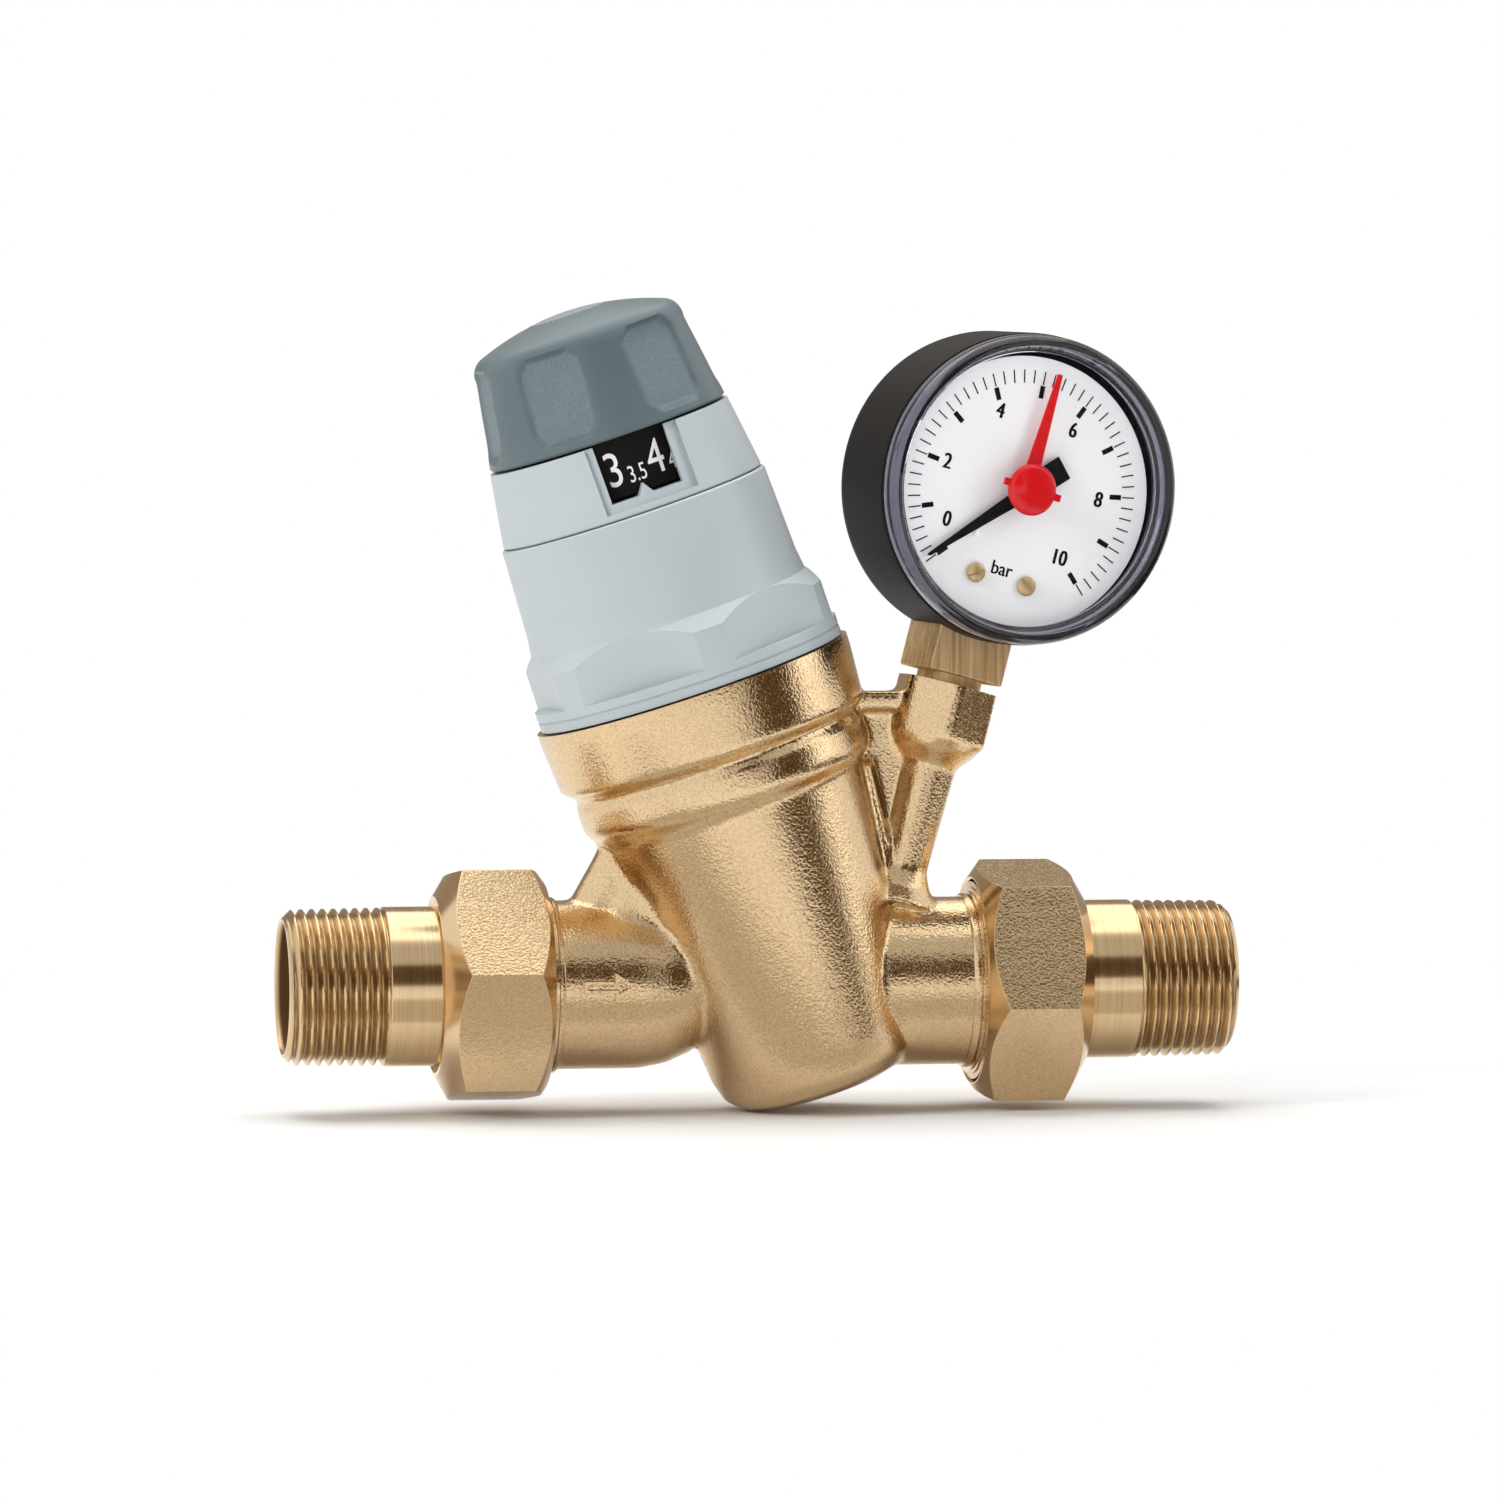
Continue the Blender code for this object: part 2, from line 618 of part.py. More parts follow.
def build_cartridge(looks, barrel):
    ring_line = LAND_RADIUS - SEAT_GAP - RING_SECTION
    top_ring_line = UPPER_LAND_RADIUS - SEAT_GAP - RING_SECTION
    groove_half = RING_SECTION + SEAT_GAP
    top_groove = UPPER_LAND_FOOT + 0.0040
    nose = -LAND_HALF + SEAT_GAP
    shelf = LAND_HALF + SEAT_GAP
    head = UPPER_LAND_FOOT - 0.0015
    head_top = SENSING_FLOOR - SEAT_GAP
    seat_pocket = SEAT_BORE_RADIUS + 0.0025
    wall = LAND_RADIUS - 0.0008
    cage = solid(
        "cartridge_cage",
        turned(
            [
                (seat_pocket, nose),
                (LAND_RADIUS - SEAT_GAP, nose),
                (LAND_RADIUS - SEAT_GAP, -groove_half),
                (ring_line - groove_half, -groove_half),
                (ring_line - groove_half, groove_half),
                (LAND_RADIUS - SEAT_GAP, groove_half),
                (LAND_RADIUS - SEAT_GAP, shelf),
                (CHAMBER_RADIUS - 0.0022, shelf),
                (CHAMBER_RADIUS - 0.0022, shelf + 0.0018),
                (wall, shelf + 0.0018),
                (wall, head),
                (UPPER_LAND_RADIUS - SEAT_GAP, head + 0.0010),
                (UPPER_LAND_RADIUS - SEAT_GAP, top_groove - groove_half),
                (top_ring_line - groove_half, top_groove - groove_half),
                (top_ring_line - groove_half, top_groove + groove_half),
                (UPPER_LAND_RADIUS - SEAT_GAP, top_groove + groove_half),
                (UPPER_LAND_RADIUS - SEAT_GAP, head_top),
                (STEM_RADIUS + RUN_GAP, head_top),
                (STEM_RADIUS + RUN_GAP, head + 0.0040),
                (SEAT_BORE_RADIUS + 0.0014, head + 0.0020),
                (SEAT_BORE_RADIUS + 0.0014, 0.0018),
                (seat_pocket, 0.0018),
            ],
            SMALL_ROUND,
        ),
        looks["nylon"],
        barrel,
    )
    windows = gathered(
        [
            moved(
                block(
                    (-0.0036, STEM_RADIUS + 0.0020, shelf + 0.0036),
                    (0.0036, CHAMBER_RADIUS, head - 0.0020),
                ),
                Matrix.Rotation(quarter * math.pi / 2.0 + math.pi / 4.0, 4, "Z"),
            )
            for quarter in range(4)
        ]
    )
    window_tool = solid("cage_windows", windows, looks["nylon"], barrel)
    shape_with(cage, window_tool)
    solid(
        "seat_ring",
        tube(SEAT_BORE_RADIUS, seat_pocket - SEAT_GAP, -LAND_HALF - 0.0002, 0.0015, SMALL_ROUND),
        looks["steel"],
        barrel,
    )
    sleeve_inner = wall + RUN_GAP + 0.0010
    sleeve_foot = shelf + 0.0018 + SEAT_GAP
    sleeve_top = head - SEAT_GAP
    sleeve = solid(
        "strainer_sleeve",
        tube(sleeve_inner, sleeve_inner + 0.0007, sleeve_foot, sleeve_top, SMALL_ROUND),
        looks["steel"],
        barrel,
    )
    slots = gathered(
        [
            moved(
                block(
                    (-0.0009, sleeve_inner - 0.0030, sleeve_foot + 0.0020),
                    (0.0009, CHAMBER_RADIUS, sleeve_top - 0.0020),
                ),
                Matrix.Rotation((slot + 0.5) * math.tau / 9.0, 4, "Z"),
            )
            for slot in range(9)
        ]
    )
    slot_tool = solid("strainer_slots", slots, looks["steel"], barrel)
    shape_with(sleeve, slot_tool)
    for name, line, height in (
        ("lower_o_ring", ring_line, 0.0),
        ("upper_o_ring", top_ring_line, top_groove),
    ):
        section = [
            (
                line + RING_SECTION * math.cos(turn * math.tau / 6.0),
                height - RING_SECTION * math.sin(turn * math.tau / 6.0),
            )
            for turn in range(6)
        ]
        solid(name, turned(section, SMALL_ROUND), looks["rubber"], barrel)


def build_stem(looks, barrel):
    seal_top = -LAND_HALF - 0.0002 - SEAT_GAP - STROKE
    seal_foot = seal_top - 0.0015
    shutter_top = seal_foot - SEAT_GAP
    boss_top = seal_top + 0.0004
    boss_radius = STEM_RADIUS + SEAT_GAP + 0.0014
    stem_foot = shutter_top - 0.0010
    lower_top = LEDGE
    diaphragm_foot = LEDGE + SEAT_GAP
    diaphragm_top = diaphragm_foot + DIAPHRAGM_THICKNESS
    cup_foot = diaphragm_top + SEAT_GAP
    cup_top = cup_foot + PLATE_THICKNESS
    nut_foot = cup_top + SEAT_GAP
    hole = STEM_RADIUS + SEAT_GAP
    solid("valve_stem", rod(STEM_RADIUS, stem_foot, nut_foot + STEM_NUT_HEIGHT * 1.3, 14), looks["steel"], barrel)
    solid(
        "shutter",
        turned(
            [
                (0.0, shutter_top - 0.0036),
                (SHUTTER_RADIUS - 0.0008, shutter_top - 0.0036),
                (SHUTTER_RADIUS, shutter_top - 0.0028),
                (SHUTTER_RADIUS, shutter_top),
                (boss_radius, shutter_top),
                (boss_radius, boss_top),
                (hole, boss_top),
                (hole, stem_foot - SEAT_GAP),
                (0.0, stem_foot - SEAT_GAP),
            ],
            SMALL_ROUND,
        ),
        looks["turned_brass"],
        barrel,
    )
    solid(
        "shutter_seal",
        tube(boss_radius + SEAT_GAP, SHUTTER_RADIUS - 0.0004, seal_foot, seal_top, SMALL_ROUND),
        looks["rubber"],
        barrel,
    )
    solid(
        "lower_plate",
        turned(
            [
                (hole, lower_top - PLATE_THICKNESS - 0.0012),
                (0.0060, lower_top - PLATE_THICKNESS - 0.0012),
                (0.0060, lower_top - PLATE_THICKNESS),
                (PLATE_RADIUS - 0.0008, lower_top - PLATE_THICKNESS),
                (PLATE_RADIUS, lower_top - PLATE_THICKNESS + 0.0008),
                (PLATE_RADIUS, lower_top),
                (hole, lower_top),
            ],
            SMALL_ROUND,
        ),
        looks["turned_brass"],
        barrel,
    )
    solid(
        "diaphragm",
        turned(
            [
                (hole, diaphragm_foot),
                (PLATE_RADIUS + 0.0012, diaphragm_foot),
                (PLATE_RADIUS + 0.0026, diaphragm_foot - 0.0010),
                (SENSING_RADIUS - 0.0012, diaphragm_foot),
                (COLLAR_BORE_RADIUS - SEAT_GAP, diaphragm_foot),
                (COLLAR_BORE_RADIUS - SEAT_GAP, diaphragm_top),
                (SENSING_RADIUS - 0.0012, diaphragm_top),
                (PLATE_RADIUS + 0.0026, diaphragm_top - 0.0010),
                (PLATE_RADIUS + 0.0012, diaphragm_top),
                (hole, diaphragm_top),
            ],
            SMALL_ROUND,
        ),
        looks["rubber"],
        barrel,
    )
    guide = SPRING_RADIUS * math.cos(math.pi / SPRING_POINTS) - SPRING_WIRE_RADIUS - SEAT_GAP
    solid(
        "spring_cup",
        turned(
            [
                (hole, cup_foot),
                (PLATE_RADIUS, cup_foot),
                (PLATE_RADIUS, cup_top + 0.0014),
                (PLATE_RADIUS - 0.0008, cup_top + 0.0014),
                (PLATE_RADIUS - 0.0008, cup_top),
                (hole, cup_top),
            ],
            SMALL_ROUND,
        ),
        looks["steel"],
        barrel,
    )
    hexagon = prism(min(STEM_RADIUS * 3.4, guide * 1.7), nut_foot, nut_foot + STEM_NUT_HEIGHT)
    nut = solid("stem_nut", hexagon, looks["steel"], barrel)
    drilling = rod(hole, nut_foot - STEM_NUT_HEIGHT / 2.0, nut_foot + STEM_NUT_HEIGHT * 1.5, 14)
    nut_hole = solid("stem_nut_hole", drilling, looks["steel"], barrel)
    shape_with(nut, nut_hole)
    clamp_foot = diaphragm_top + SEAT_GAP
    solid(
        "clamp_ring",
        tube(
            SENSING_RADIUS - 0.0004,
            COLLAR_BORE_RADIUS - SEAT_GAP,
            clamp_foot,
            clamp_foot + CLAMP_THICKNESS,
            SMALL_ROUND,
        ),
        looks["steel"],
        barrel,
    )
    return cup_top + SEAT_GAP, clamp_foot + CLAMP_THICKNESS + SEAT_GAP


def build_spring(looks, barrel, foot, top):
    low = foot + SPRING_WIRE_RADIUS
    high = top - SPRING_WIRE_RADIUS
    count = int(SPRING_TURNS * SPRING_POINTS) + 1
    path = []
    for step in range(count):
        share = step / (count - 1)
        angle = share * SPRING_TURNS * math.tau
        # the end coils lie flatter than the working coils
        lift = share - 0.02 * math.sin(math.tau * share)
        across = SPRING_RADIUS * math.cos(angle)
        deep = SPRING_RADIUS * math.sin(angle)
        path.append(Vector((across, deep, low + (high - low) * lift)))
    lead_in = (path[0] - path[1]).normalized() * SPRING_WIRE_RADIUS * 2.0
    lead_in.z = 0.0
    lead_out = (path[-1] - path[-2]).normalized() * SPRING_WIRE_RADIUS * 2.0
    lead_out.z = 0.0
    path = [path[0] + lead_in] + path + [path[-1] + lead_out]
    curve = bpy.data.curves.new("setting_spring", "CURVE")
    curve.dimensions = "3D"
    curve.bevel_depth = SPRING_WIRE_RADIUS
    curve.bevel_resolution = 1
    curve.use_fill_caps = True
    line = curve.splines.new("POLY")
    line.points.add(len(path) - 1)
    for point, place in zip(line.points, path):
        point.co = (*place, 1.0)
    spring = bpy.data.objects.new("setting_spring", curve)
    spring.data.materials.append(looks["steel"])
    spring.parent = barrel
    bpy.context.collection.objects.link(spring)
    least = min(
        (path[a] - path[b]).length
        for a in range(len(path))
        for b in range(a + 6, len(path))
    )
    print("setting spring least gap to itself, mm:", round((least - 2.0 * SPRING_WIRE_RADIUS) * 1000.0, 3))


def build_bonnet(looks, barrel, spigot_foot):
    foot = COLLAR_TOP + SEAT_GAP
    flats_foot = foot + FLANGE_FOOT_HEIGHT
    spigot = COLLAR_BORE_RADIUS - SEAT_GAP
    cell = spigot - 0.0030
    waist_cell = BONNET_WAIST_RADIUS - BONNET_WALL
    deck_radius = RING_BORE_RADIUS - SEAT_GAP
    bonnet = solid(
        "bonnet",
        turned(
            [
                (cell, spigot_foot),
                (spigot, spigot_foot),
                (spigot, foot),
                (FLANGE_RADIUS, foot),
                (FLANGE_RADIUS, foot + 0.0014),
                (FLANGE_RADIUS - 0.0003, foot + 0.0016),
                (FLANGE_RADIUS, foot + 0.0018),
                (FLANGE_RADIUS, HEX_TOP),
                (HEX_ACROSS_FLATS / 2.0, HEX_TOP + 0.0026),
                (BONNET_WAIST_RADIUS, BONNET_WAIST),
                (BONNET_TOP_RADIUS, SHOULDER - 0.0004),
                (BONNET_TOP_RADIUS - 0.0004, SHOULDER),
                (deck_radius, SHOULDER),
                (deck_radius, DECK),
                (SCREW_RADIUS + RUN_GAP, DECK),
                (SCREW_RADIUS + RUN_GAP, CEILING),
                (waist_cell - 0.0010, CEILING),
                (waist_cell, CEILING - 0.0010),
                (waist_cell, flats_foot),
                (cell, flats_foot - 0.0010),
            ]
        ),
        looks["light_grey"],
        barrel,
    )
    flats = solid(
        "bonnet_flats",
        prism(HEX_ACROSS_FLATS, spigot_foot - 0.01, DECK + 0.01, 6, HEX_TURN),
        looks["light_grey"],
        barrel,
    )
    around = solid(
        "bonnet_flat_tool",
        tube(0.0040, FLANGE_RADIUS + 0.0100, flats_foot, BONNET_WAIST - 0.0003),
        looks["light_grey"],
        barrel,
    )
    shape_with(around, flats)
    shape_with(bonnet, around)
    # two ribs inside stop the spring follower from turning
    for name, side in (("left", -1.0), ("right", 1.0)):
        rib = solid(
            "guide_rib_" + name,
            block(
                (side * (waist_cell - 0.0018), -0.0015, flats_foot + 0.0010),
                (side * (waist_cell + 0.0010), 0.0015, CEILING + 0.0010),
            ),
            looks["light_grey"],
            barrel,
        )
        shape_with(bonnet, rib, "UNION")
    return waist_cell


def build_ring(looks, barrel):
    foot = SHOULDER + SEAT_GAP
    ring = solid(
        "indicator_ring",
        turned(
            [
                (RING_BORE_RADIUS, foot),
                (RING_FOOT_RADIUS - 0.0003, foot),
                (RING_FOOT_RADIUS, foot + 0.0004),
                (RING_TOP_RADIUS, RING_TOP),
                (RING_BORE_RADIUS, RING_TOP),
            ]
        ),
        looks["light_grey"],
        barrel,
    )
    half = WINDOW_WIDTH / 2.0
    frame = solid(
        "window_frame",
        block(
            (-half - 0.0020, -RING_FOOT_RADIUS - 0.0050, WINDOW_SILL - 0.0018),
            (half + 0.0020, -RING_TOP_RADIUS + 0.0002, RING_TOP + 0.0020),
        ),
        looks["light_grey"],
        barrel,
    )
    shape_with(ring, frame)
    window = solid(
        "window_opening",
        plate(
            [
                (-half, WINDOW_SILL),
                (-0.0013, WINDOW_SILL),
                (0.0, WINDOW_SILL + 0.0019),
                (0.0013, WINDOW_SILL),
                (half, WINDOW_SILL),
                (half, RING_TOP + 0.0030),
                (-half, RING_TOP + 0.0030),
            ],
            -RING_FOOT_RADIUS - 0.0060,
            -RING_BORE_RADIUS * 0.6,
        ),
        looks["light_grey"],
        barrel,
    )
    shape_with(ring, window)


def build_knob(looks, barrel):
    drum_outer = RING_BORE_RADIUS - RUN_GAP
    drum_inner = drum_outer - DRUM_WALL
    skirt = drum_inner - SEAT_GAP
    foot = RING_TOP + RUN_GAP
    drum_foot = DECK + RUN_GAP
    solid("scale_drum", tube(drum_inner, drum_outer, drum_foot, foot - 0.0002), looks["black"], barrel)
    inside_foot = KNOB_FOOT_RADIUS - KNOB_WALL
    inside_top = KNOB_CROWN_RADIUS - KNOB_WALL
    under = KNOB_EDGE - KNOB_WALL
    crown = KNOB_CROWN_RADIUS - KNOB_ROUND * 0.5

    def dome(radius):
        return KNOB_TOP - (KNOB_TOP - KNOB_EDGE) * (radius / crown) ** 2

    cap_edge = dome(CAP_RADIUS)
    cap_foot = cap_edge - CAP_THICKNESS
    well = cap_foot - 0.0030
    floor = well - 0.0022
    hole = 0.0022
    knob = solid(
        "adjusting_knob",
        turned(
            [
                (hole, well),
                (CAP_RADIUS - 0.0008, well),
                (CAP_RADIUS - 0.0008, cap_foot - SEAT_GAP),
                (CAP_RADIUS + SEAT_GAP, cap_foot - SEAT_GAP),
                (CAP_RADIUS + SEAT_GAP, dome(CAP_RADIUS + SEAT_GAP)),
                (crown * 0.62, dome(crown * 0.62)),
                (crown * 0.84, dome(crown * 0.84)),
                (crown, dome(crown)),
                (KNOB_CROWN_RADIUS, KNOB_EDGE - KNOB_ROUND),
                (KNOB_FOOT_RADIUS, foot + 0.0006),
                (KNOB_FOOT_RADIUS - 0.0004, foot),
                (skirt, foot),
                (skirt, drum_foot + 0.0006),
                (skirt - 0.0018, drum_foot + 0.0006),
                (min(skirt - 0.0018, inside_top), under),
                (HUB_RADIUS, under),
                (HUB_RADIUS, foot + 0.0010),
                (hole, foot + 0.0010),
            ]
        ),
        looks["slate"],
        barrel,
    )
    socket_half = SCREW_SQUARE / 2.0 + SEAT_GAP
    socket = solid(
        "knob_socket",
        block((-socket_half, -socket_half, foot - 0.0100), (socket_half, socket_half, floor)),
        looks["slate"],
        barrel,
    )
    shape_with(knob, socket)
    draft = math.atan2(KNOB_FOOT_RADIUS - KNOB_CROWN_RADIUS, KNOB_EDGE - KNOB_ROUND - foot)
    middle_height = (foot + KNOB_EDGE - KNOB_ROUND) / 2.0
    middle_radius = (KNOB_FOOT_RADIUS + KNOB_CROWN_RADIUS) / 2.0
    chord = middle_radius - math.sqrt(middle_radius**2 - (GRIP_WIDTH / 2.0) ** 2)
    panels = []
    for sixth in range(6):
        reach = (KNOB_EDGE - foot) / 2.0
        panel = block(
            (-GRIP_WIDTH / 2.0, -0.0060, -reach + 0.0022),
            (GRIP_WIDTH / 2.0, 0.0, reach - 0.0010),
        )
        lean = Matrix.Rotation(-draft, 4, "X")
        out = Matrix.Translation((0.0, -middle_radius + chord + GRIP_DEPTH - 0.0004, middle_height))
        spin = Matrix.Rotation(sixth * math.tau / 6.0 + math.pi / 6.0, 4, "Z")
        panels.append(moved(panel, spin @ out @ lean))
    grip = solid("knob_panels", gathered(panels), looks["slate"], barrel)
    shape_with(knob, grip)
    solid(
        "knob_cap",
        turned(
            [
                (0.0, cap_foot),
                (CAP_RADIUS, cap_foot),
                (CAP_RADIUS, cap_edge - 0.0003),
                (CAP_RADIUS - 0.0003, cap_edge),
                (0.0, KNOB_TOP),
            ],
            24,
        ),
        looks["pale_slate"],
        barrel,
    )
    head_foot = well + SEAT_GAP
    solid(
        "knob_screw",
        turned(
            [
                (0.0, floor - KNOB_SCREW_LENGTH),
                (hole - SEAT_GAP, floor - KNOB_SCREW_LENGTH),
                (hole - SEAT_GAP, head_foot),
                (0.0038, head_foot),
                (0.0038, head_foot + 0.0014),
                (0.0028, head_foot + 0.0022),
                (0.0, head_foot + 0.0022),
            ],
            SMALL_ROUND,
        ),
        looks["steel"],
        barrel,
    )
    return floor


def build_adjuster(looks, barrel, socket_floor, cell):
    washer_top = CEILING - SEAT_GAP
    washer_foot = washer_top - WASHER_THICKNESS
    collar_top = washer_foot - SEAT_GAP
    collar_foot = collar_top - 0.0016
    top = socket_floor - SEAT_GAP
    shank = SCREW_SQUARE / 2.0 * 1.414
    hole = 0.0022
    screw = solid(
        "adjusting_screw",
        turned(
            [
                (0.0, FOLLOWER_HEIGHT - 0.0130),
                (SCREW_RADIUS - 0.0008, FOLLOWER_HEIGHT - 0.0130),
                (SCREW_RADIUS, FOLLOWER_HEIGHT - 0.0122),
                (SCREW_RADIUS, collar_foot),
                (SCREW_RADIUS + 0.0030, collar_foot),
                (SCREW_RADIUS + 0.0030, collar_top),
                (SCREW_RADIUS, collar_top),
                (SCREW_RADIUS, DECK + 0.0100),
                (min(shank, SCREW_RADIUS), DECK + 0.0104),
                (min(shank, SCREW_RADIUS), top),
                (hole, top),
                (hole, top - KNOB_SCREW_LENGTH - 0.0012),
                (0.0, top - KNOB_SCREW_LENGTH - 0.0012),
            ],
            SMALL_ROUND,
        ),
        looks["turned_brass"],
        barrel,
    )
    half = SCREW_SQUARE / 2.0
    square = block((-half, -half, DECK + 0.0110), (half, half, top + 0.0100))
    drive = solid("drive_square", square, looks["steel"], barrel)
    outside = solid(
        "drive_tool",
        tube(0.0010, SCREW_RADIUS + 0.0040, DECK + 0.0110, top + 0.0050, 24),
        looks["steel"],
        barrel,
    )
    shape_with(outside, drive)
    shape_with(screw, outside)
    solid(
        "thrust_washer",
        tube(SCREW_RADIUS + RUN_GAP, SCREW_RADIUS + 0.0030, washer_foot, washer_top, SMALL_ROUND),
        looks["nylon"],
        barrel,
    )
    guide = SPRING_RADIUS * math.cos(math.pi / SPRING_POINTS) - SPRING_WIRE_RADIUS - SEAT_GAP
    rim = cell - RUN_GAP
    follower = solid(
        "spring_follower",
        turned(
            [
                (SCREW_RADIUS + RUN_GAP, FOLLOWER_HEIGHT - 0.0040),
                (guide, FOLLOWER_HEIGHT - 0.0040),
                (guide, FOLLOWER_HEIGHT),
                (rim, FOLLOWER_HEIGHT),
                (rim, FOLLOWER_HEIGHT + FOLLOWER_THICKNESS * 0.6),
                (rim - 0.0020, FOLLOWER_HEIGHT + FOLLOWER_THICKNESS),
                (SCREW_RADIUS + RUN_GAP, FOLLOWER_HEIGHT + FOLLOWER_THICKNESS),
            ],
            24,
        ),
        looks["turned_brass"],
        barrel,
    )
    reach = cell - 0.0018 - RUN_GAP
    slots = gathered(
        [
            block(
                (side * reach, -0.0015 - RUN_GAP, FOLLOWER_HEIGHT - 0.002),
                (side * (cell + 0.002), 0.0015 + RUN_GAP, FOLLOWER_HEIGHT + 0.008),
            )
            for side in (-1.0, 1.0)
        ]
    )
    bmesh.ops.recalc_face_normals(slots, faces=slots.faces)
    slot_tool = solid("follower_slots", slots, looks["steel"], barrel)
    shape_with(follower, slot_tool)


def tooth_ring(count, module, first, last, depth_out, depth_in, fill):
    # (x, z) points of straight sided teeth centred on the origin, clockwise from the top
    pitch = math.tau / count
    radius = module * count / 2.0
    points = []
    for tooth in range(first, last + 1):
        for offset, reach in (
            (-fill * 0.70, -depth_in),
            (-fill * 0.28, depth_out),
            (fill * 0.28, depth_out),
            (fill * 0.70, -depth_in),
        ):
            angle = (tooth + offset) * pitch
            points.append(((radius + reach) * math.sin(angle), (radius + reach) * math.cos(angle)))
    return points


def turned_points(points, angle):
    return [
        (x * math.cos(angle) + z * math.sin(angle), z * math.cos(angle) - x * math.sin(angle))
        for x, z in points
    ]


def build_gauge_shell(looks, boss, dial):
    drop = -GAUGE_LIFT
    half = SOCKET_SQUARE / 2.0
    square_foot = drop + SOCKET_NECK_LENGTH
    socket = solid(
        "gauge_socket",
        turned(
            [
                (0.0, drop - GAUGE_THREAD_LENGTH),
                (GAUGE_THREAD_RADIUS - 0.0010, drop - GAUGE_THREAD_LENGTH),
                (GAUGE_THREAD_RADIUS, drop - GAUGE_THREAD_LENGTH + 0.0010),
                (GAUGE_THREAD_RADIUS, drop - 0.0012),
                (SOCKET_NECK_RADIUS, drop - 0.0004),
                (SOCKET_NECK_RADIUS, square_foot + 0.0010),
                (0.0, square_foot + 0.0010),
            ],
            SMALL_ROUND,
        ),
        looks["turned_brass"],
        dial,
    )
    bar = solid(
        "socket_square",
        block((-half, -half, square_foot), (half, CASE_BACK - 0.0018, SOCKET_TOP)),
        looks["turned_brass"],
        dial,
    )
    shape_with(socket, bar, "UNION")
    drilling = rod(0.0015, drop - 0.0200, SOCKET_TOP - 0.0050, 10)
    feed = solid("socket_feed", drilling, looks["turned_brass"], dial)
    shape_with(socket, feed)
    screw_holes = gathered(
        [
            moved(
                rod(0.0011, -half - 0.002, -half + 0.0045, 10),
                Matrix.Translation((side * DIAL_SCREW_X, 0.0, DIAL_SCREW_Z))
                @ Matrix.Rotation(-math.pi / 2.0, 4, "X"),
            )
            for side in (-1.0, 1.0)
        ]
    )
    hole_tool = solid("socket_screw_holes", screw_holes, looks["turned_brass"], dial)
    shape_with(socket, hole_tool)

    across = Matrix.Rotation(math.pi / 2.0, 4, "X")
    raised = Matrix.Translation((0.0, 0.0, CASE_RISE)) @ across
    inner = CASE_RADIUS - CASE_WALL
    edge = -CASE_FRONT
    case = solid(
        "gauge_case",
        moved(
            turned(
                [
                    (0.0, -CASE_BACK),
                    (CASE_RADIUS - 0.0034, -CASE_BACK),
                    (CASE_RADIUS - 0.0010, -CASE_BACK + 0.0010),
                    (CASE_RADIUS, -CASE_BACK + 0.0034),
                    (CASE_RADIUS, edge - 0.0003),
                    (CASE_RADIUS - 0.0003, edge),
                    (inner, edge),
                    (inner, -CASE_BACK + 0.0030),
                    (inner - 0.0016, -CASE_BACK + 0.0014),
                    (0.0, -CASE_BACK + 0.0014),
                ]
            ),
            raised,
        ),
        looks["black"],
        dial,
    )
    gap = half + SEAT_GAP
    stem_slot = solid(
        "case_stem_slot",
        block(
            (-gap, -gap, -CASE_RADIUS - 0.0100),
            (gap, CASE_BACK - 0.0018 + SEAT_GAP, -CASE_RADIUS * 0.7),
        ),
        looks["black"],
        dial,
    )
    shape_with(case, stem_slot)

    pane_back = -WINDOW_PANE - PANE_THICKNESS
    skirt = inner - SEAT_GAP
    skirt_end = -DIAL_FACE + 0.0004
    solid(
        "gauge_window",
        moved(
            turned(
                [
                    (SET_SHAFT_RADIUS + RUN_GAP, pane_back),
                    (PANE_RADIUS, pane_back),
                    (skirt - 0.0008, pane_back - 0.0006),
                    (skirt - 0.0008, skirt_end),
                    (skirt, skirt_end),
                    (skirt, edge + SEAT_GAP),
                    (WINDOW_RADIUS, edge + SEAT_GAP),
                    (WINDOW_RADIUS, -WINDOW_FRONT - 0.0008),
                    (WINDOW_RADIUS - 0.0008, -WINDOW_FRONT),
                    (WINDOW_RADIUS - 0.0018, -WINDOW_FRONT),
                    (PANE_RADIUS + 0.0004, -WINDOW_PANE + 0.0004),
                    (PANE_RADIUS, -WINDOW_PANE),
                    (SET_SHAFT_RADIUS + RUN_GAP, -WINDOW_PANE),
                ]
            ),
            raised,
        ),
        looks["clear"],
        dial,
    )


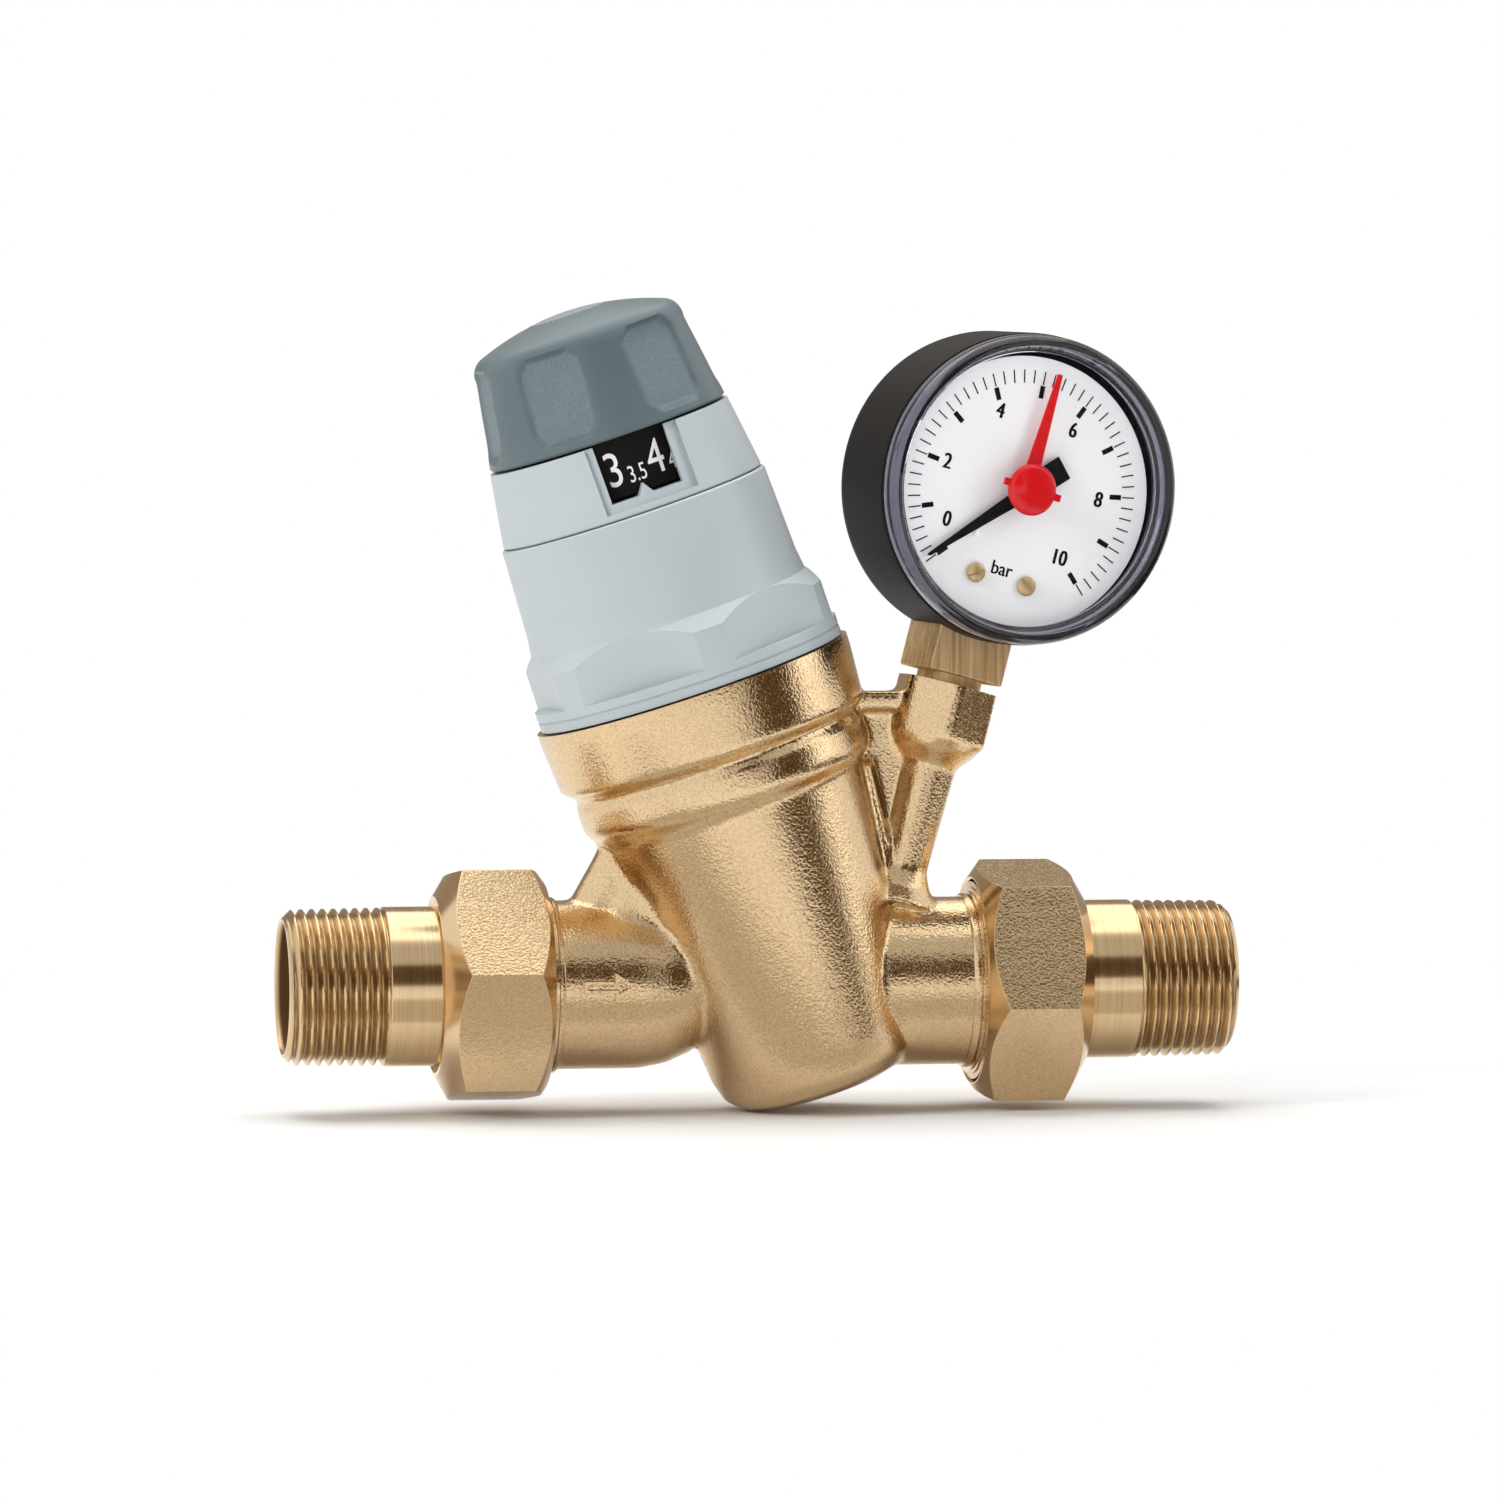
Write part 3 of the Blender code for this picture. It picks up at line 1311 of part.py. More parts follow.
def build_dial(looks, dial):
    across = Matrix.Rotation(math.pi / 2.0, 4, "X")
    back = DIAL_FACE + DIAL_THICKNESS
    face = solid(
        "gauge_dial",
        moved(tube(0.0020, DIAL_RADIUS, -back, -DIAL_FACE), across),
        looks["white"],
        dial,
    )
    plate_front = -SOCKET_SQUARE / 2.0 - SEAT_GAP - 0.0010
    plate_back = -SOCKET_SQUARE / 2.0 - SEAT_GAP
    pillar_front = back + SEAT_GAP
    centre = GEAR_MODULE * (PINION_TEETH + SECTOR_TEETH) / 2.0
    pivot_x = centre * math.sin(math.radians(135))
    pivot_z = centre * math.cos(math.radians(135))
    frame_plate = solid(
        "movement_plate",
        plate(
            [
                (-SOCKET_SQUARE / 2.0, DIAL_SCREW_Z - PILLAR_RADIUS * 1.37),
                (SOCKET_SQUARE / 2.0, DIAL_SCREW_Z - PILLAR_RADIUS * 1.37),
                (pivot_x + PILLAR_RADIUS * 0.42, pivot_z - PILLAR_RADIUS * 1.26),
                (pivot_x + PILLAR_RADIUS * 1.26, pivot_z + PILLAR_RADIUS * 0.63),
                (PILLAR_RADIUS * 1.8, PILLAR_RADIUS * 1.8),
                (-PILLAR_RADIUS * 1.8, PILLAR_RADIUS * 1.8),
                (-SOCKET_SQUARE / 2.0, DIAL_SCREW_Z / 2.0),
            ],
            plate_front,
            plate_back,
        ),
        looks["turned_brass"],
        dial,
    )
    for name, x, z, radius, front in (
        ("pillar_left", -DIAL_SCREW_X, DIAL_SCREW_Z, PILLAR_RADIUS, pillar_front),
        ("pillar_right", DIAL_SCREW_X, DIAL_SCREW_Z, PILLAR_RADIUS, pillar_front),
        ("sector_stud", pivot_x, pivot_z, 0.0007, pillar_front + 0.0002),
    ):
        post = solid(
            name,
            moved(rod(radius, -plate_back + 0.0002, -front, 12), Matrix.Translation((x, 0.0, z)) @ across),
            looks["turned_brass"],
            dial,
        )
        shape_with(frame_plate, post, "UNION")
    holes = [
        moved(
            rod(0.0011, 0.0, 0.0200, 10),
            Matrix.Translation((side * DIAL_SCREW_X, 0.0, DIAL_SCREW_Z)) @ across,
        )
        for side in (-1.0, 1.0)
    ]
    screw_tool = solid("dial_screw_holes", gathered(holes), looks["turned_brass"], dial)
    drilling = moved(rod(0.0007 + RUN_GAP, 0.0, 0.0090, 12), across)
    arbor_tool = solid("arbor_hole", drilling, looks["turned_brass"], dial)
    shape_with(face, screw_tool)
    shape_with(frame_plate, screw_tool)
    shape_with(frame_plate, arbor_tool)
    for name, side in (("dial_screw_left", -1.0), ("dial_screw_right", 1.0)):
        head = -DIAL_FACE + SEAT_GAP
        screw = solid(
            name,
            moved(
                turned(
                    [
                        (0.0, SOCKET_SQUARE / 2.0 - 0.0040),
                        (0.0008, SOCKET_SQUARE / 2.0 - 0.0040),
                        (0.0008, head),
                        (0.00165, head),
                        (0.00165, head + 0.0003),
                        (0.0010, head + 0.0007),
                        (0.0, head + 0.0007),
                    ],
                    12,
                ),
                across,
            ),
            looks["turned_brass"],
            dial,
        )
        screw.location = (side * DIAL_SCREW_X, 0.0, DIAL_SCREW_Z)
    solid(
        "zero_pin",
        moved(rod(0.00045, -DIAL_FACE + SEAT_GAP, -DIAL_FACE + 0.0015, 10), across),
        looks["steel"],
        dial,
    ).location = (ZERO_PIN_REACH * math.sin(ZERO_PIN_ANGLE), 0.0, ZERO_PIN_REACH * math.cos(ZERO_PIN_ANGLE))
    return pivot_x, pivot_z, plate_front, back


def needle(length, half_root, half_tip, tail):
    return [
        (-half_root, 0.0020),
        (-half_tip, length - half_tip),
        (0.0, length),
        (half_tip, length - half_tip),
        (half_root, 0.0020),
        (half_root, -tail),
        (-half_root, -tail),
    ]


def build_hands(looks, dial, pivot_x, pivot_z, plate_front, dial_back):
    across = Matrix.Rotation(math.pi / 2.0, 4, "X")
    zero = -DIAL_SWEEP / 2.0
    pointer_back = DIAL_FACE - 0.0009
    pointer_front = pointer_back - POINTER_THICKNESS
    pointer = solid(
        "gauge_pointer",
        plate(needle(POINTER_LENGTH, 0.0007, 0.0002, 0.0060), pointer_front, pointer_back),
        looks["black"],
        dial,
    )
    pointer.rotation_euler = (0.0, zero, 0.0)
    for name, shape in (
        ("pointer_hub", moved(rod(0.0026, -pointer_back - 0.0003, -pointer_front, 16), across)),
        (
            "pointer_tail",
            plate(
                [
                    (-0.0009, -0.0040),
                    (0.0009, -0.0040),
                    (0.0021, -0.0054),
                    (0.0021, -0.0084),
                    (-0.0021, -0.0084),
                    (-0.0021, -0.0054),
                ],
                pointer_front,
                pointer_back,
            ),
        ),
    ):
        piece = solid(name, shape, looks["black"], dial)
        piece.rotation_euler = (0.0, zero, 0.0)
        shape_with(pointer, piece, "UNION")

    gear_front = dial_back + 0.0008
    gear_back = gear_front + GEAR_WIDTH
    arbor_front = pointer_back + SEAT_GAP + 0.0003
    arbor = solid(
        "pointer_arbor",
        moved(rod(0.0007, -plate_front - 0.0008, -arbor_front, 12), across),
        looks["steel"],
        dial,
    )
    arbor.rotation_euler = (0.0, zero, 0.0)
    # at rest a gap of the pinion faces the sector pivot, 135 degrees clockwise from the top
    tooth_out = GEAR_MODULE * 0.7
    tooth_in = GEAR_MODULE * 1.1
    pinion = tooth_ring(PINION_TEETH, GEAR_MODULE, 0, PINION_TEETH - 1, tooth_out, tooth_in, 0.36)
    phase = math.radians(135) + math.tau / PINION_TEETH / 2.0 - zero
    wheel = plate(turned_points(pinion, phase), gear_front, gear_back)
    teeth = solid("pinion", wheel, looks["steel"], dial)
    teeth.rotation_euler = (0.0, zero, 0.0)
    shape_with(arbor, teeth, "UNION")

    mesh_line = math.radians(-45)
    rim = tooth_ring(SECTOR_TEETH, GEAR_MODULE, -1, 8, tooth_out, tooth_in, 0.36)
    rim = turned_points(rim, mesh_line)
    wedge = mesh_line + 3.5 * math.tau / SECTOR_TEETH
    tail_reach = 0.0055
    tail_x = tail_reach * math.sin(wedge + math.pi)
    tail_z = tail_reach * math.cos(wedge + math.pi)
    hub = [
        (0.0022 * math.sin(wedge + turn), 0.0022 * math.cos(wedge + turn))
        for turn in (math.radians(70), math.radians(110), math.radians(145))
    ]
    far_hub = [
        (0.0022 * math.sin(wedge - turn), 0.0022 * math.cos(wedge - turn))
        for turn in (math.radians(145), math.radians(110), math.radians(70))
    ]
    end = [
        (tail_x + 0.0014 * math.sin(wedge + turn), tail_z + 0.0014 * math.cos(wedge + turn))
        for turn in (math.radians(110), math.radians(180), math.radians(250))
    ]
    arm = plate(rim + hub + end + far_hub, gear_front, gear_back)
    sector = solid("sector_gear", arm, looks["turned_brass"], dial)
    sector.location = (pivot_x, 0.0, pivot_z)
    drilling = moved(rod(0.0007 + RUN_GAP, 0.0, 0.0200, 12), across)
    bore = solid("sector_bore", drilling, looks["turned_brass"], dial)
    bore.location = (pivot_x, 0.0, pivot_z)
    shape_with(sector, bore)

    # the tube leaves the side of the socket and runs round behind the dial
    inner_line = TUBE_RADIUS - TUBE_THICKNESS / 2.0
    start = math.asin((SOCKET_SQUARE / 2.0 + SEAT_GAP) / inner_line) - math.pi
    finish_at = math.radians(125)
    tube_shape = bmesh.new()
    centre_y = 0.0
    section = [
        (-0.5, -0.28),
        (-0.28, -0.5),
        (0.28, -0.5),
        (0.5, -0.28),
        (0.5, 0.28),
        (0.28, 0.5),
        (-0.28, 0.5),
        (-0.5, 0.28),
    ]
    corners = []
    for across_share, out_share in section:
        radius = TUBE_RADIUS + out_share * TUBE_THICKNESS
        place = (radius * math.sin(start), centre_y + across_share * TUBE_WIDTH, radius * math.cos(start))
        corners.append(tube_shape.verts.new(place))
    end_face = tube_shape.faces.new(corners)
    bmesh.ops.spin(
        tube_shape,
        geom=[end_face],
        cent=(0.0, 0.0, 0.0),
        axis=(0.0, 1.0, 0.0),
        angle=finish_at - start,
        steps=28,
        use_duplicate=False,
    )
    bmesh.ops.recalc_face_normals(tube_shape, faces=tube_shape.faces)
    solid("bourdon_tube", tube_shape, looks["turned_brass"], dial)

    # the link hangs on the sector's tail and stands off the tube's tip
    link_front = gear_back + SEAT_GAP
    link_back = link_front + 0.0005
    hook_x = pivot_x + tail_x
    hook_z = pivot_z + tail_z
    peg_radius = 0.0006
    tip_angle = finish_at + (peg_radius + SEAT_GAP + 0.00005) / TUBE_RADIUS
    tip_x = TUBE_RADIUS * math.sin(tip_angle)
    tip_z = TUBE_RADIUS * math.cos(tip_angle)
    lead = math.atan2(tip_x - hook_x, tip_z - hook_z)
    half = 0.0009
    strip = [
        (half * math.sin(lead + turn) + base_x, half * math.cos(lead + turn) + base_z)
        for base_x, base_z, turns in (
            (tip_x - hook_x, tip_z - hook_z, (-90, -30, 30, 90)),
            (0.0, 0.0, (90, 150, 210, 270)),
        )
        for turn in (math.radians(value) for value in turns)
    ]
    link = solid("tube_link", plate(strip, link_front, link_back), looks["steel"], dial)
    link.location = (hook_x, 0.0, hook_z)
    pin = moved(rod(peg_radius, -TUBE_WIDTH * 0.3, -link_back + 0.0001, 10), across)
    peg = solid("link_peg", pin, looks["steel"], dial)
    peg.location = (tip_x, 0.0, tip_z)
    shape_with(link, peg, "UNION")

    build_set_hand(looks, dial, zero)


def build_set_hand(looks, dial, zero):
    across = Matrix.Rotation(math.pi / 2.0, 4, "X")
    reading = zero + DIAL_SWEEP * HAND_READING / DIAL_SPAN_BAR
    axis = frame_at("set_hand_axis", (0.0, 0.0, CASE_RISE), (0.0, reading, 0.0), dial)
    hand_front = WINDOW_PANE + PANE_THICKNESS + SEAT_GAP
    hand_back = hand_front + POINTER_THICKNESS
    blade = plate(needle(HAND_LENGTH, 0.0015, 0.0003, 0.0015), hand_front, hand_back)
    hand = solid("set_hand", blade, looks["red"], axis)
    disc = solid("set_hand_disc", moved(rod(0.0030, -hand_back, -hand_front, 20), across), looks["red"], axis)
    shape_with(hand, disc, "UNION")
    drilling = moved(rod(SET_SHAFT_RADIUS + SEAT_GAP, 0.0, 0.0200, 14), across)
    eye = solid("set_hand_eye", drilling, looks["red"], axis)
    shape_with(hand, eye)
    seat = -WINDOW_PANE + RUN_GAP
    grip = solid(
        "set_hand_grip",
        moved(
            turned(
                [
                    (0.0, -hand_back),
                    (SET_SHAFT_RADIUS, -hand_back),
                    (SET_SHAFT_RADIUS, seat),
                    (0.0043, seat),
                    (0.0043, seat + 0.0006),
                    (0.0040, seat + 0.0010),
                    (0.0, seat + 0.0010),
                ],
                20,
            ),
            across,
        ),
        looks["red"],
        axis,
    )
    ears = gathered(
        [
            block((-0.0053, -seat - 0.0009, -0.0007), (-0.0036, -seat, 0.0007)),
            block((0.0036, -seat - 0.0009, -0.0007), (0.0053, -seat, 0.0007)),
        ]
    )
    ear_tool = solid("set_hand_ears", ears, looks["red"], axis)
    shape_with(grip, ear_tool, "UNION")


def main():
    clear_scene()
    looks = make_looks()
    barrel = frame_at("barrel_axis", (BARREL_SHIFT, 0.0, 0.0), (0.0, -BARREL_TILT, 0.0))
    boss = frame_at("boss_axis", (BOSS_X, 0.0, BOSS_Z), (BOSS_NOD, BOSS_LEAN, 0.0))
    dial = frame_at("dial_axis", (0.0, 0.0, GAUGE_LIFT), (0.0, 0.0, GAUGE_TURN), boss)
    build_body(looks, barrel, boss)
    build_union(looks, "inlet", -1.0, INLET_NUT_TURN)
    build_union(looks, "outlet", 1.0, OUTLET_NUT_TURN)
    build_cartridge(looks, barrel)
    spring_foot, spigot_foot = build_stem(looks, barrel)
    build_spring(looks, barrel, spring_foot, FOLLOWER_HEIGHT - SEAT_GAP)
    cell = build_bonnet(looks, barrel, spigot_foot)
    build_ring(looks, barrel)
    socket_floor = build_knob(looks, barrel)
    build_adjuster(looks, barrel, socket_floor, cell)
    build_gauge_shell(looks, boss, dial)
    pivot_x, pivot_z, plate_front, dial_back = build_dial(looks, dial)
    build_hands(looks, dial, pivot_x, pivot_z, plate_front, dial_back)


main()
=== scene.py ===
import math

import bpy
from mathutils import Matrix, Vector


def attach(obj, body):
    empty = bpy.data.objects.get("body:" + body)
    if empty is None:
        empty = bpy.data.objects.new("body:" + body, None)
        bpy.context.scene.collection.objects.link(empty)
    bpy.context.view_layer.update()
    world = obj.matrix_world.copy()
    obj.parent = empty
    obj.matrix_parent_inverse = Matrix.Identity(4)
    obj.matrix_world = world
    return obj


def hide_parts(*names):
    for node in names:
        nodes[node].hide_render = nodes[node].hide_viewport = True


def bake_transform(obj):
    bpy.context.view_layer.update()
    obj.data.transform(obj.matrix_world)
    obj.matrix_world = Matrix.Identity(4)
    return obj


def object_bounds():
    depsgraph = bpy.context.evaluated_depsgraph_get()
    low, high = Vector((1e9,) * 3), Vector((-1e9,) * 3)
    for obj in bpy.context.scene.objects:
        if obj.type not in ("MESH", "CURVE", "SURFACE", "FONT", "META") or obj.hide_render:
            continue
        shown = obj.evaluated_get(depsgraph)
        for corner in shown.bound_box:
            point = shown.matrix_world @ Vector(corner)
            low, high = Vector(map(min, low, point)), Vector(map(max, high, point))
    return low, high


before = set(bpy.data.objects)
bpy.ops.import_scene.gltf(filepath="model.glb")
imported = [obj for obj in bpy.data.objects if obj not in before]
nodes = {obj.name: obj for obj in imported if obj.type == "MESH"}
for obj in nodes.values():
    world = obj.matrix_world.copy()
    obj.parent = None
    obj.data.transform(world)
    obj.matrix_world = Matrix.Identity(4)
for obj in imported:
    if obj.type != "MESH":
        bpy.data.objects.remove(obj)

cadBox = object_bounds()
mm = 0.001

# the four frames that the solids are built on, in metres and degrees
layout = {
    "barrelShift": 0.0059, "barrelTilt": 18.7,
    "bossX": 0.0324, "bossZ": 0.0497, "bossLean": 14.5, "bossNod": -2.0,
    "gaugeLift": 0.0336, "gaugeTurn": 12.4, "caseRise": 0.0007,
    "zeroAngle": -135.0, "degreesPerBar": 27.0, "setReading": 5.1,
}


def turnAbout(axis, degrees):
    return Matrix.Rotation(math.radians(degrees), 4, axis)


barrelPlace = Matrix.Translation((layout["barrelShift"], 0, 0)) @ turnAbout("Y", -layout["barrelTilt"])
bossPlace = (
    Matrix.Translation((layout["bossX"], 0, layout["bossZ"]))
    @ turnAbout("Y", layout["bossLean"])
    @ turnAbout("X", layout["bossNod"])
)
dialPlace = bossPlace @ Matrix.Translation((0, 0, layout["gaugeLift"])) @ turnAbout("Z", layout["gaugeTurn"])
casePlace = dialPlace @ Matrix.Translation((0, 0, layout["caseRise"]))
setAngle = layout["zeroAngle"] + layout["degreesPerBar"] * layout["setReading"]
handPlace = casePlace @ turnAbout("Y", setAngle)
facing = turnAbout("X", 90)        # a shape spun round Z then looks out of the dial
print("frame loaded,", len(nodes), "nodes")


def pick(*pieces):
    bpy.ops.object.select_all(action="DESELECT")
    for piece in pieces:
        piece.select_set(True)
    bpy.context.view_layer.objects.active = pieces[0]


def drawLine(name, points):
    # one vertex pushed along a list of points, left in edit mode with all of it selected
    bpy.ops.object.select_all(action="DESELECT")
    bpy.ops.mesh.primitive_plane_add(size=0.001, location=(0, 0, 0))
    piece = bpy.context.object
    piece.name = name
    bpy.ops.object.mode_set(mode="EDIT")
    bpy.ops.mesh.merge(type="CENTER")
    bpy.ops.transform.translate(value=points[0])
    for start, end in zip(points, points[1:]):
        step = Vector(end) - Vector(start)
        bpy.ops.mesh.extrude_vertices_move(TRANSFORM_OT_translate={"value": step})
    bpy.ops.mesh.select_all(action="SELECT")
    bpy.ops.mesh.remove_doubles(threshold=1e-7)
    return piece


def closeUp():
    bpy.ops.mesh.select_all(action="SELECT")
    bpy.ops.mesh.remove_doubles(threshold=1e-6)
    bpy.ops.mesh.normals_make_consistent(inside=False)
    bpy.ops.object.mode_set(mode="OBJECT")


def spun(name, profile, steps=128):
    # (radius, height) points spun round Z; a profile off the axis is a closed ring
    points = [(radius, 0, height) for radius, height in profile]
    if profile[0][0] > 0:
        points.append(points[0])
    piece = drawLine(name, points)
    bpy.ops.mesh.spin(steps=steps, angle=math.tau, center=(0, 0, 0), axis=(0, 0, 1))
    closeUp()
    return piece


def cutOut(name, outline, front, back):
    # (x, z) outline as a plate between two depths along Y
    points = [(x, front, z) for x, z in outline]
    piece = drawLine(name, points + points[:1])
    bpy.ops.mesh.edge_face_add()
    bpy.ops.mesh.extrude_region_move(TRANSFORM_OT_translate={"value": (0, back - front, 0)})
    closeUp()
    return piece


def box(name, low, high):
    bpy.ops.object.select_all(action="DESELECT")
    middle = (Vector(low) + Vector(high)) / 2
    bpy.ops.mesh.primitive_cube_add(size=1, location=middle)
    piece = bpy.context.object
    piece.name = name
    piece.scale = Vector(high) - Vector(low)
    bpy.ops.object.transform_apply(location=True, rotation=True, scale=True)
    return piece


def hexBar(name, acrossFlats, foot, top, turn):
    # turn 0 puts a corner toward -Y
    bpy.ops.object.select_all(action="DESELECT")
    bpy.ops.mesh.primitive_cylinder_add(
        vertices=6, radius=acrossFlats / 2 / math.cos(math.pi / 6), depth=top - foot,
        location=(0, 0, (foot + top) / 2), rotation=(0, 0, math.radians(turn)),
    )
    piece = bpy.context.object
    piece.name = name
    bpy.ops.object.transform_apply(location=True, rotation=True, scale=True)
    return piece


def applied(piece, kind, **settings):
    change = piece.modifiers.new(kind.lower(), kind)
    for key, value in settings.items():
        setattr(change, key, value)
    pick(piece)
    bpy.ops.object.modifier_apply(modifier=change.name)
    return piece


def cutBy(piece, tool, operation="DIFFERENCE"):
    applied(piece, "BOOLEAN", object=tool, operation=operation, solver="EXACT")
    bpy.data.objects.remove(tool)
    return piece


def softened(piece, width, segments=3, angle=30):
    return applied(
        piece, "BEVEL", width=width, segments=segments, limit_method="ANGLE",
        angle_limit=math.radians(angle), miter_outer="MITER_ARC", use_clamp_overlap=True,
    )


def settled(piece, place):
    piece.matrix_world = place @ piece.matrix_world
    pick(piece)
    bpy.ops.object.transform_apply(location=True, rotation=True, scale=True)
    return piece


def joined(*pieces):
    pick(*pieces)
    bpy.ops.object.join()
    return pieces[0]


def copied(piece, place):
    twin = piece.copy()
    twin.data = piece.data.copy()
    bpy.context.collection.objects.link(twin)
    return settled(twin, place)


def smoothed(piece, angle=35):
    pick(piece)
    bpy.ops.object.shade_smooth_by_angle(angle=math.radians(angle))
    # big faces stay flat beside their narrow bevels
    return applied(piece, "WEIGHTED_NORMAL", mode="FACE_AREA", weight=50, keep_sharp=True)


def lettering(name, words, size, thickness, squeeze=1.0):
    # raised print lying in the XZ plane, its face toward -Y
    bpy.ops.object.select_all(action="DESELECT")
    bpy.ops.object.text_add(location=(0, 0, 0))
    piece = bpy.context.object
    piece.name = name
    piece.data.body = words
    piece.data.size = size
    piece.data.extrude = thickness / 2
    piece.data.align_x = "CENTER"
    piece.data.align_y = "CENTER"
    piece.data.resolution_u = 4
    bpy.ops.object.convert(target="MESH")
    piece = bpy.context.object
    bpy.ops.object.mode_set(mode="EDIT")
    closeUp()
    centre = sum((Vector(corner) for corner in piece.bound_box), Vector()) / 8
    piece.data.transform(Matrix.Translation(-centre))
    return settled(piece, facing @ Matrix.Diagonal((squeeze, 1, 1, 1)))


def handOver(piece, look, body, slot, *stoodFor):
    piece.data.materials.clear()
    piece.data.materials.append(look)
    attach(piece, body)
    if stoodFor:
        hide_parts(*stoodFor)
    return piece


class Wire:
    # one output socket of a material, so that sums on it add their own nodes
    def __init__(self, tree, out):
        self.tree = tree
        self.out = out

    def add(self, kind, settings=None, sockets=None, output=0):
        made = self.tree.nodes.new(kind)
        for key, value in (settings or {}).items():
            if key == "stops":
                ramp = made.color_ramp.elements
                while len(ramp) < len(value):
                    ramp.new(0.5)
                for stop, (place, colour) in zip(ramp, value):
                    stop.position = place
                    stop.color = colour
            else:
                setattr(made, key, value)
        for key, value in (sockets or {}).items():
            self.feed(made.inputs[key], value)
        return Wire(self.tree, made.outputs[output])

    def feed(self, socket, value):
        if isinstance(value, Wire):
            self.tree.links.new(value.out, socket)
        else:
            socket.default_value = value

    def maths(self, operation, first, second=0.0):
        return self.add("ShaderNodeMath", {"operation": operation}, {0: first, 1: second})

    def __add__(self, other):
        return self.maths("ADD", self, other)

    def __radd__(self, other):
        return self.maths("ADD", other, self)

    def __sub__(self, other):
        return self.maths("SUBTRACT", self, other)

    def __rsub__(self, other):
        return self.maths("SUBTRACT", other, self)

    def __mul__(self, other):
        return self.maths("MULTIPLY", self, other)

    def __rmul__(self, other):
        return self.maths("MULTIPLY", other, self)

    def __truediv__(self, other):
        return self.maths("DIVIDE", self, other)

    def __pow__(self, other):
        return self.maths("POWER", self, other)

    def span(self, low, high):
        # 0 below low, 1 above high
        return self.add("ShaderNodeMapRange", {"interpolation_type": "SMOOTHSTEP"},
                        {"Value": self, "From Min": low, "From Max": high})

    def placed(self, scale, turn=(0, 0, 0), shift=(0, 0, 0)):
        return self.add("ShaderNodeMapping", {}, {"Vector": self, "Location": shift, "Rotation": turn, "Scale": scale})

    def noise(self, scale, detail=2.0, roughness=0.5):
        return self.add("ShaderNodeTexNoise", {}, {"Vector": self, "Scale": scale, "Detail": detail,
                                                   "Roughness": roughness}, "Fac")

    def cells(self, scale):
        return self.add("ShaderNodeTexVoronoi", {"feature": "SMOOTH_F1"},
                        {"Vector": self, "Scale": scale, "Smoothness": 0.8}, "Distance")

    def blend(self, low, high):
        # self runs from colour low to colour high
        made = self.add("ShaderNodeMix", {"data_type": "RGBA"}, {"Factor": self}, 2)
        for socket, value in ((made.out.node.inputs[6], low), (made.out.node.inputs[7], high)):
            self.feed(socket, value if isinstance(value, Wire) else (*value, 1.0))
        return made

    def bump(self, strength, distance):
        return self.add("ShaderNodeBump", {}, {"Height": self, "Strength": strength, "Distance": distance}, "Normal")


def newLook(name, **sockets):
    look = bpy.data.materials.new(name)
    look.use_nodes = True
    tree = look.node_tree
    shader = tree.nodes["Principled BSDF"]
    for key, value in sockets.items():
        shader.inputs[key.replace("_", " ")].default_value = value
    spot = Wire(tree, tree.nodes.new("ShaderNodeTexCoord").outputs["Object"])
    return look, shader, spot


def castBrassLook(name, grain):
    look, shader, spot = newLook(name, Metallic=1.0)
    sand = spot.noise(grain["sandScale"], 1.0, 0.5)
    speck = spot.noise(grain["speckScale"], 1.0, 0.6)
    pebble = spot.cells(grain["pebbleScale"])
    swell = spot.noise(grain["swellScale"], 3.0, 0.5)
    height = sand * grain["sand"] + pebble * grain["pebble"] + swell * grain["swell"] + speck * grain["speck"]
    pits = (sand * 0.4 + speck * 0.6).span(0.34, 0.60)
    tone = spot.noise(grain["toneScale"], 2.0, 0.5).span(0.3, 0.7)
    rough = swell * 0.08 + sand * 0.08 + grain["roughness"]
    if "skin" in grain:
        # an attribute on the mesh keeps the cast skin off the machined faces
        skin = spot.add("ShaderNodeAttribute", {"attribute_name": grain["skin"]}, {}, "Fac")
        height = height * skin
        pits = pits * skin + (1 - skin) * 0.75
        rough = rough * skin + (1 - skin) * grain["machined"]
    colour = pits.blend(grain["dark"], tone.blend(grain["mid"], grain["light"]))
    spot.feed(shader.inputs["Base Color"], colour)
    spot.feed(shader.inputs["Roughness"], rough)
    spot.feed(shader.inputs["Normal"], height.bump(grain["strength"], grain["distance"]))
    return look


def turnedBrassLook(name, cut, turn, stretch):
    # fine tool marks, drawn out at right angles to the largest number of stretch
    look, shader, spot = newLook(name, Metallic=1.0)
    marks = spot.placed(stretch, turn).noise(1.0, 2.0, 0.6)
    fine = spot.placed(tuple(3.1 * value for value in stretch), turn).noise(1.0, 1.0, 0.5)
    tone = spot.noise(90.0, 2.0, 0.5).span(0.3, 0.7)
    lines = marks * 0.65 + fine * 0.35
    colour = lines.span(0.3, 0.7).blend(cut["dark"], tone.blend(cut["mid"], cut["light"]))
    rough = lines * cut["spread"] + cut["roughness"]
    if "dullAndShade" in cut:
        # the bore gets a rougher finish and is painted dark brown inside as painted shade
        dullAndShade = spot.add("ShaderNodeAttribute", {"attribute_name": cut["dullAndShade"]}, {}, "Fac")
        colour = dullAndShade.blend(colour, cut["boreShadeTone"])
        # painted shade: the thread grooves are coloured darker brass
        thread = spot.add("ShaderNodeAttribute", {"attribute_name": cut["thread"]}, {}, "Fac")
        colour = thread.blend(colour, cut["grooveShadeTone"])
        rough = rough + dullAndShade * 0.45 + thread * 0.12
    spot.feed(shader.inputs["Base Color"], colour)
    spot.feed(shader.inputs["Roughness"], rough)
    spot.feed(shader.inputs["Normal"], lines.bump(cut["strength"], cut["distance"]))
    return look


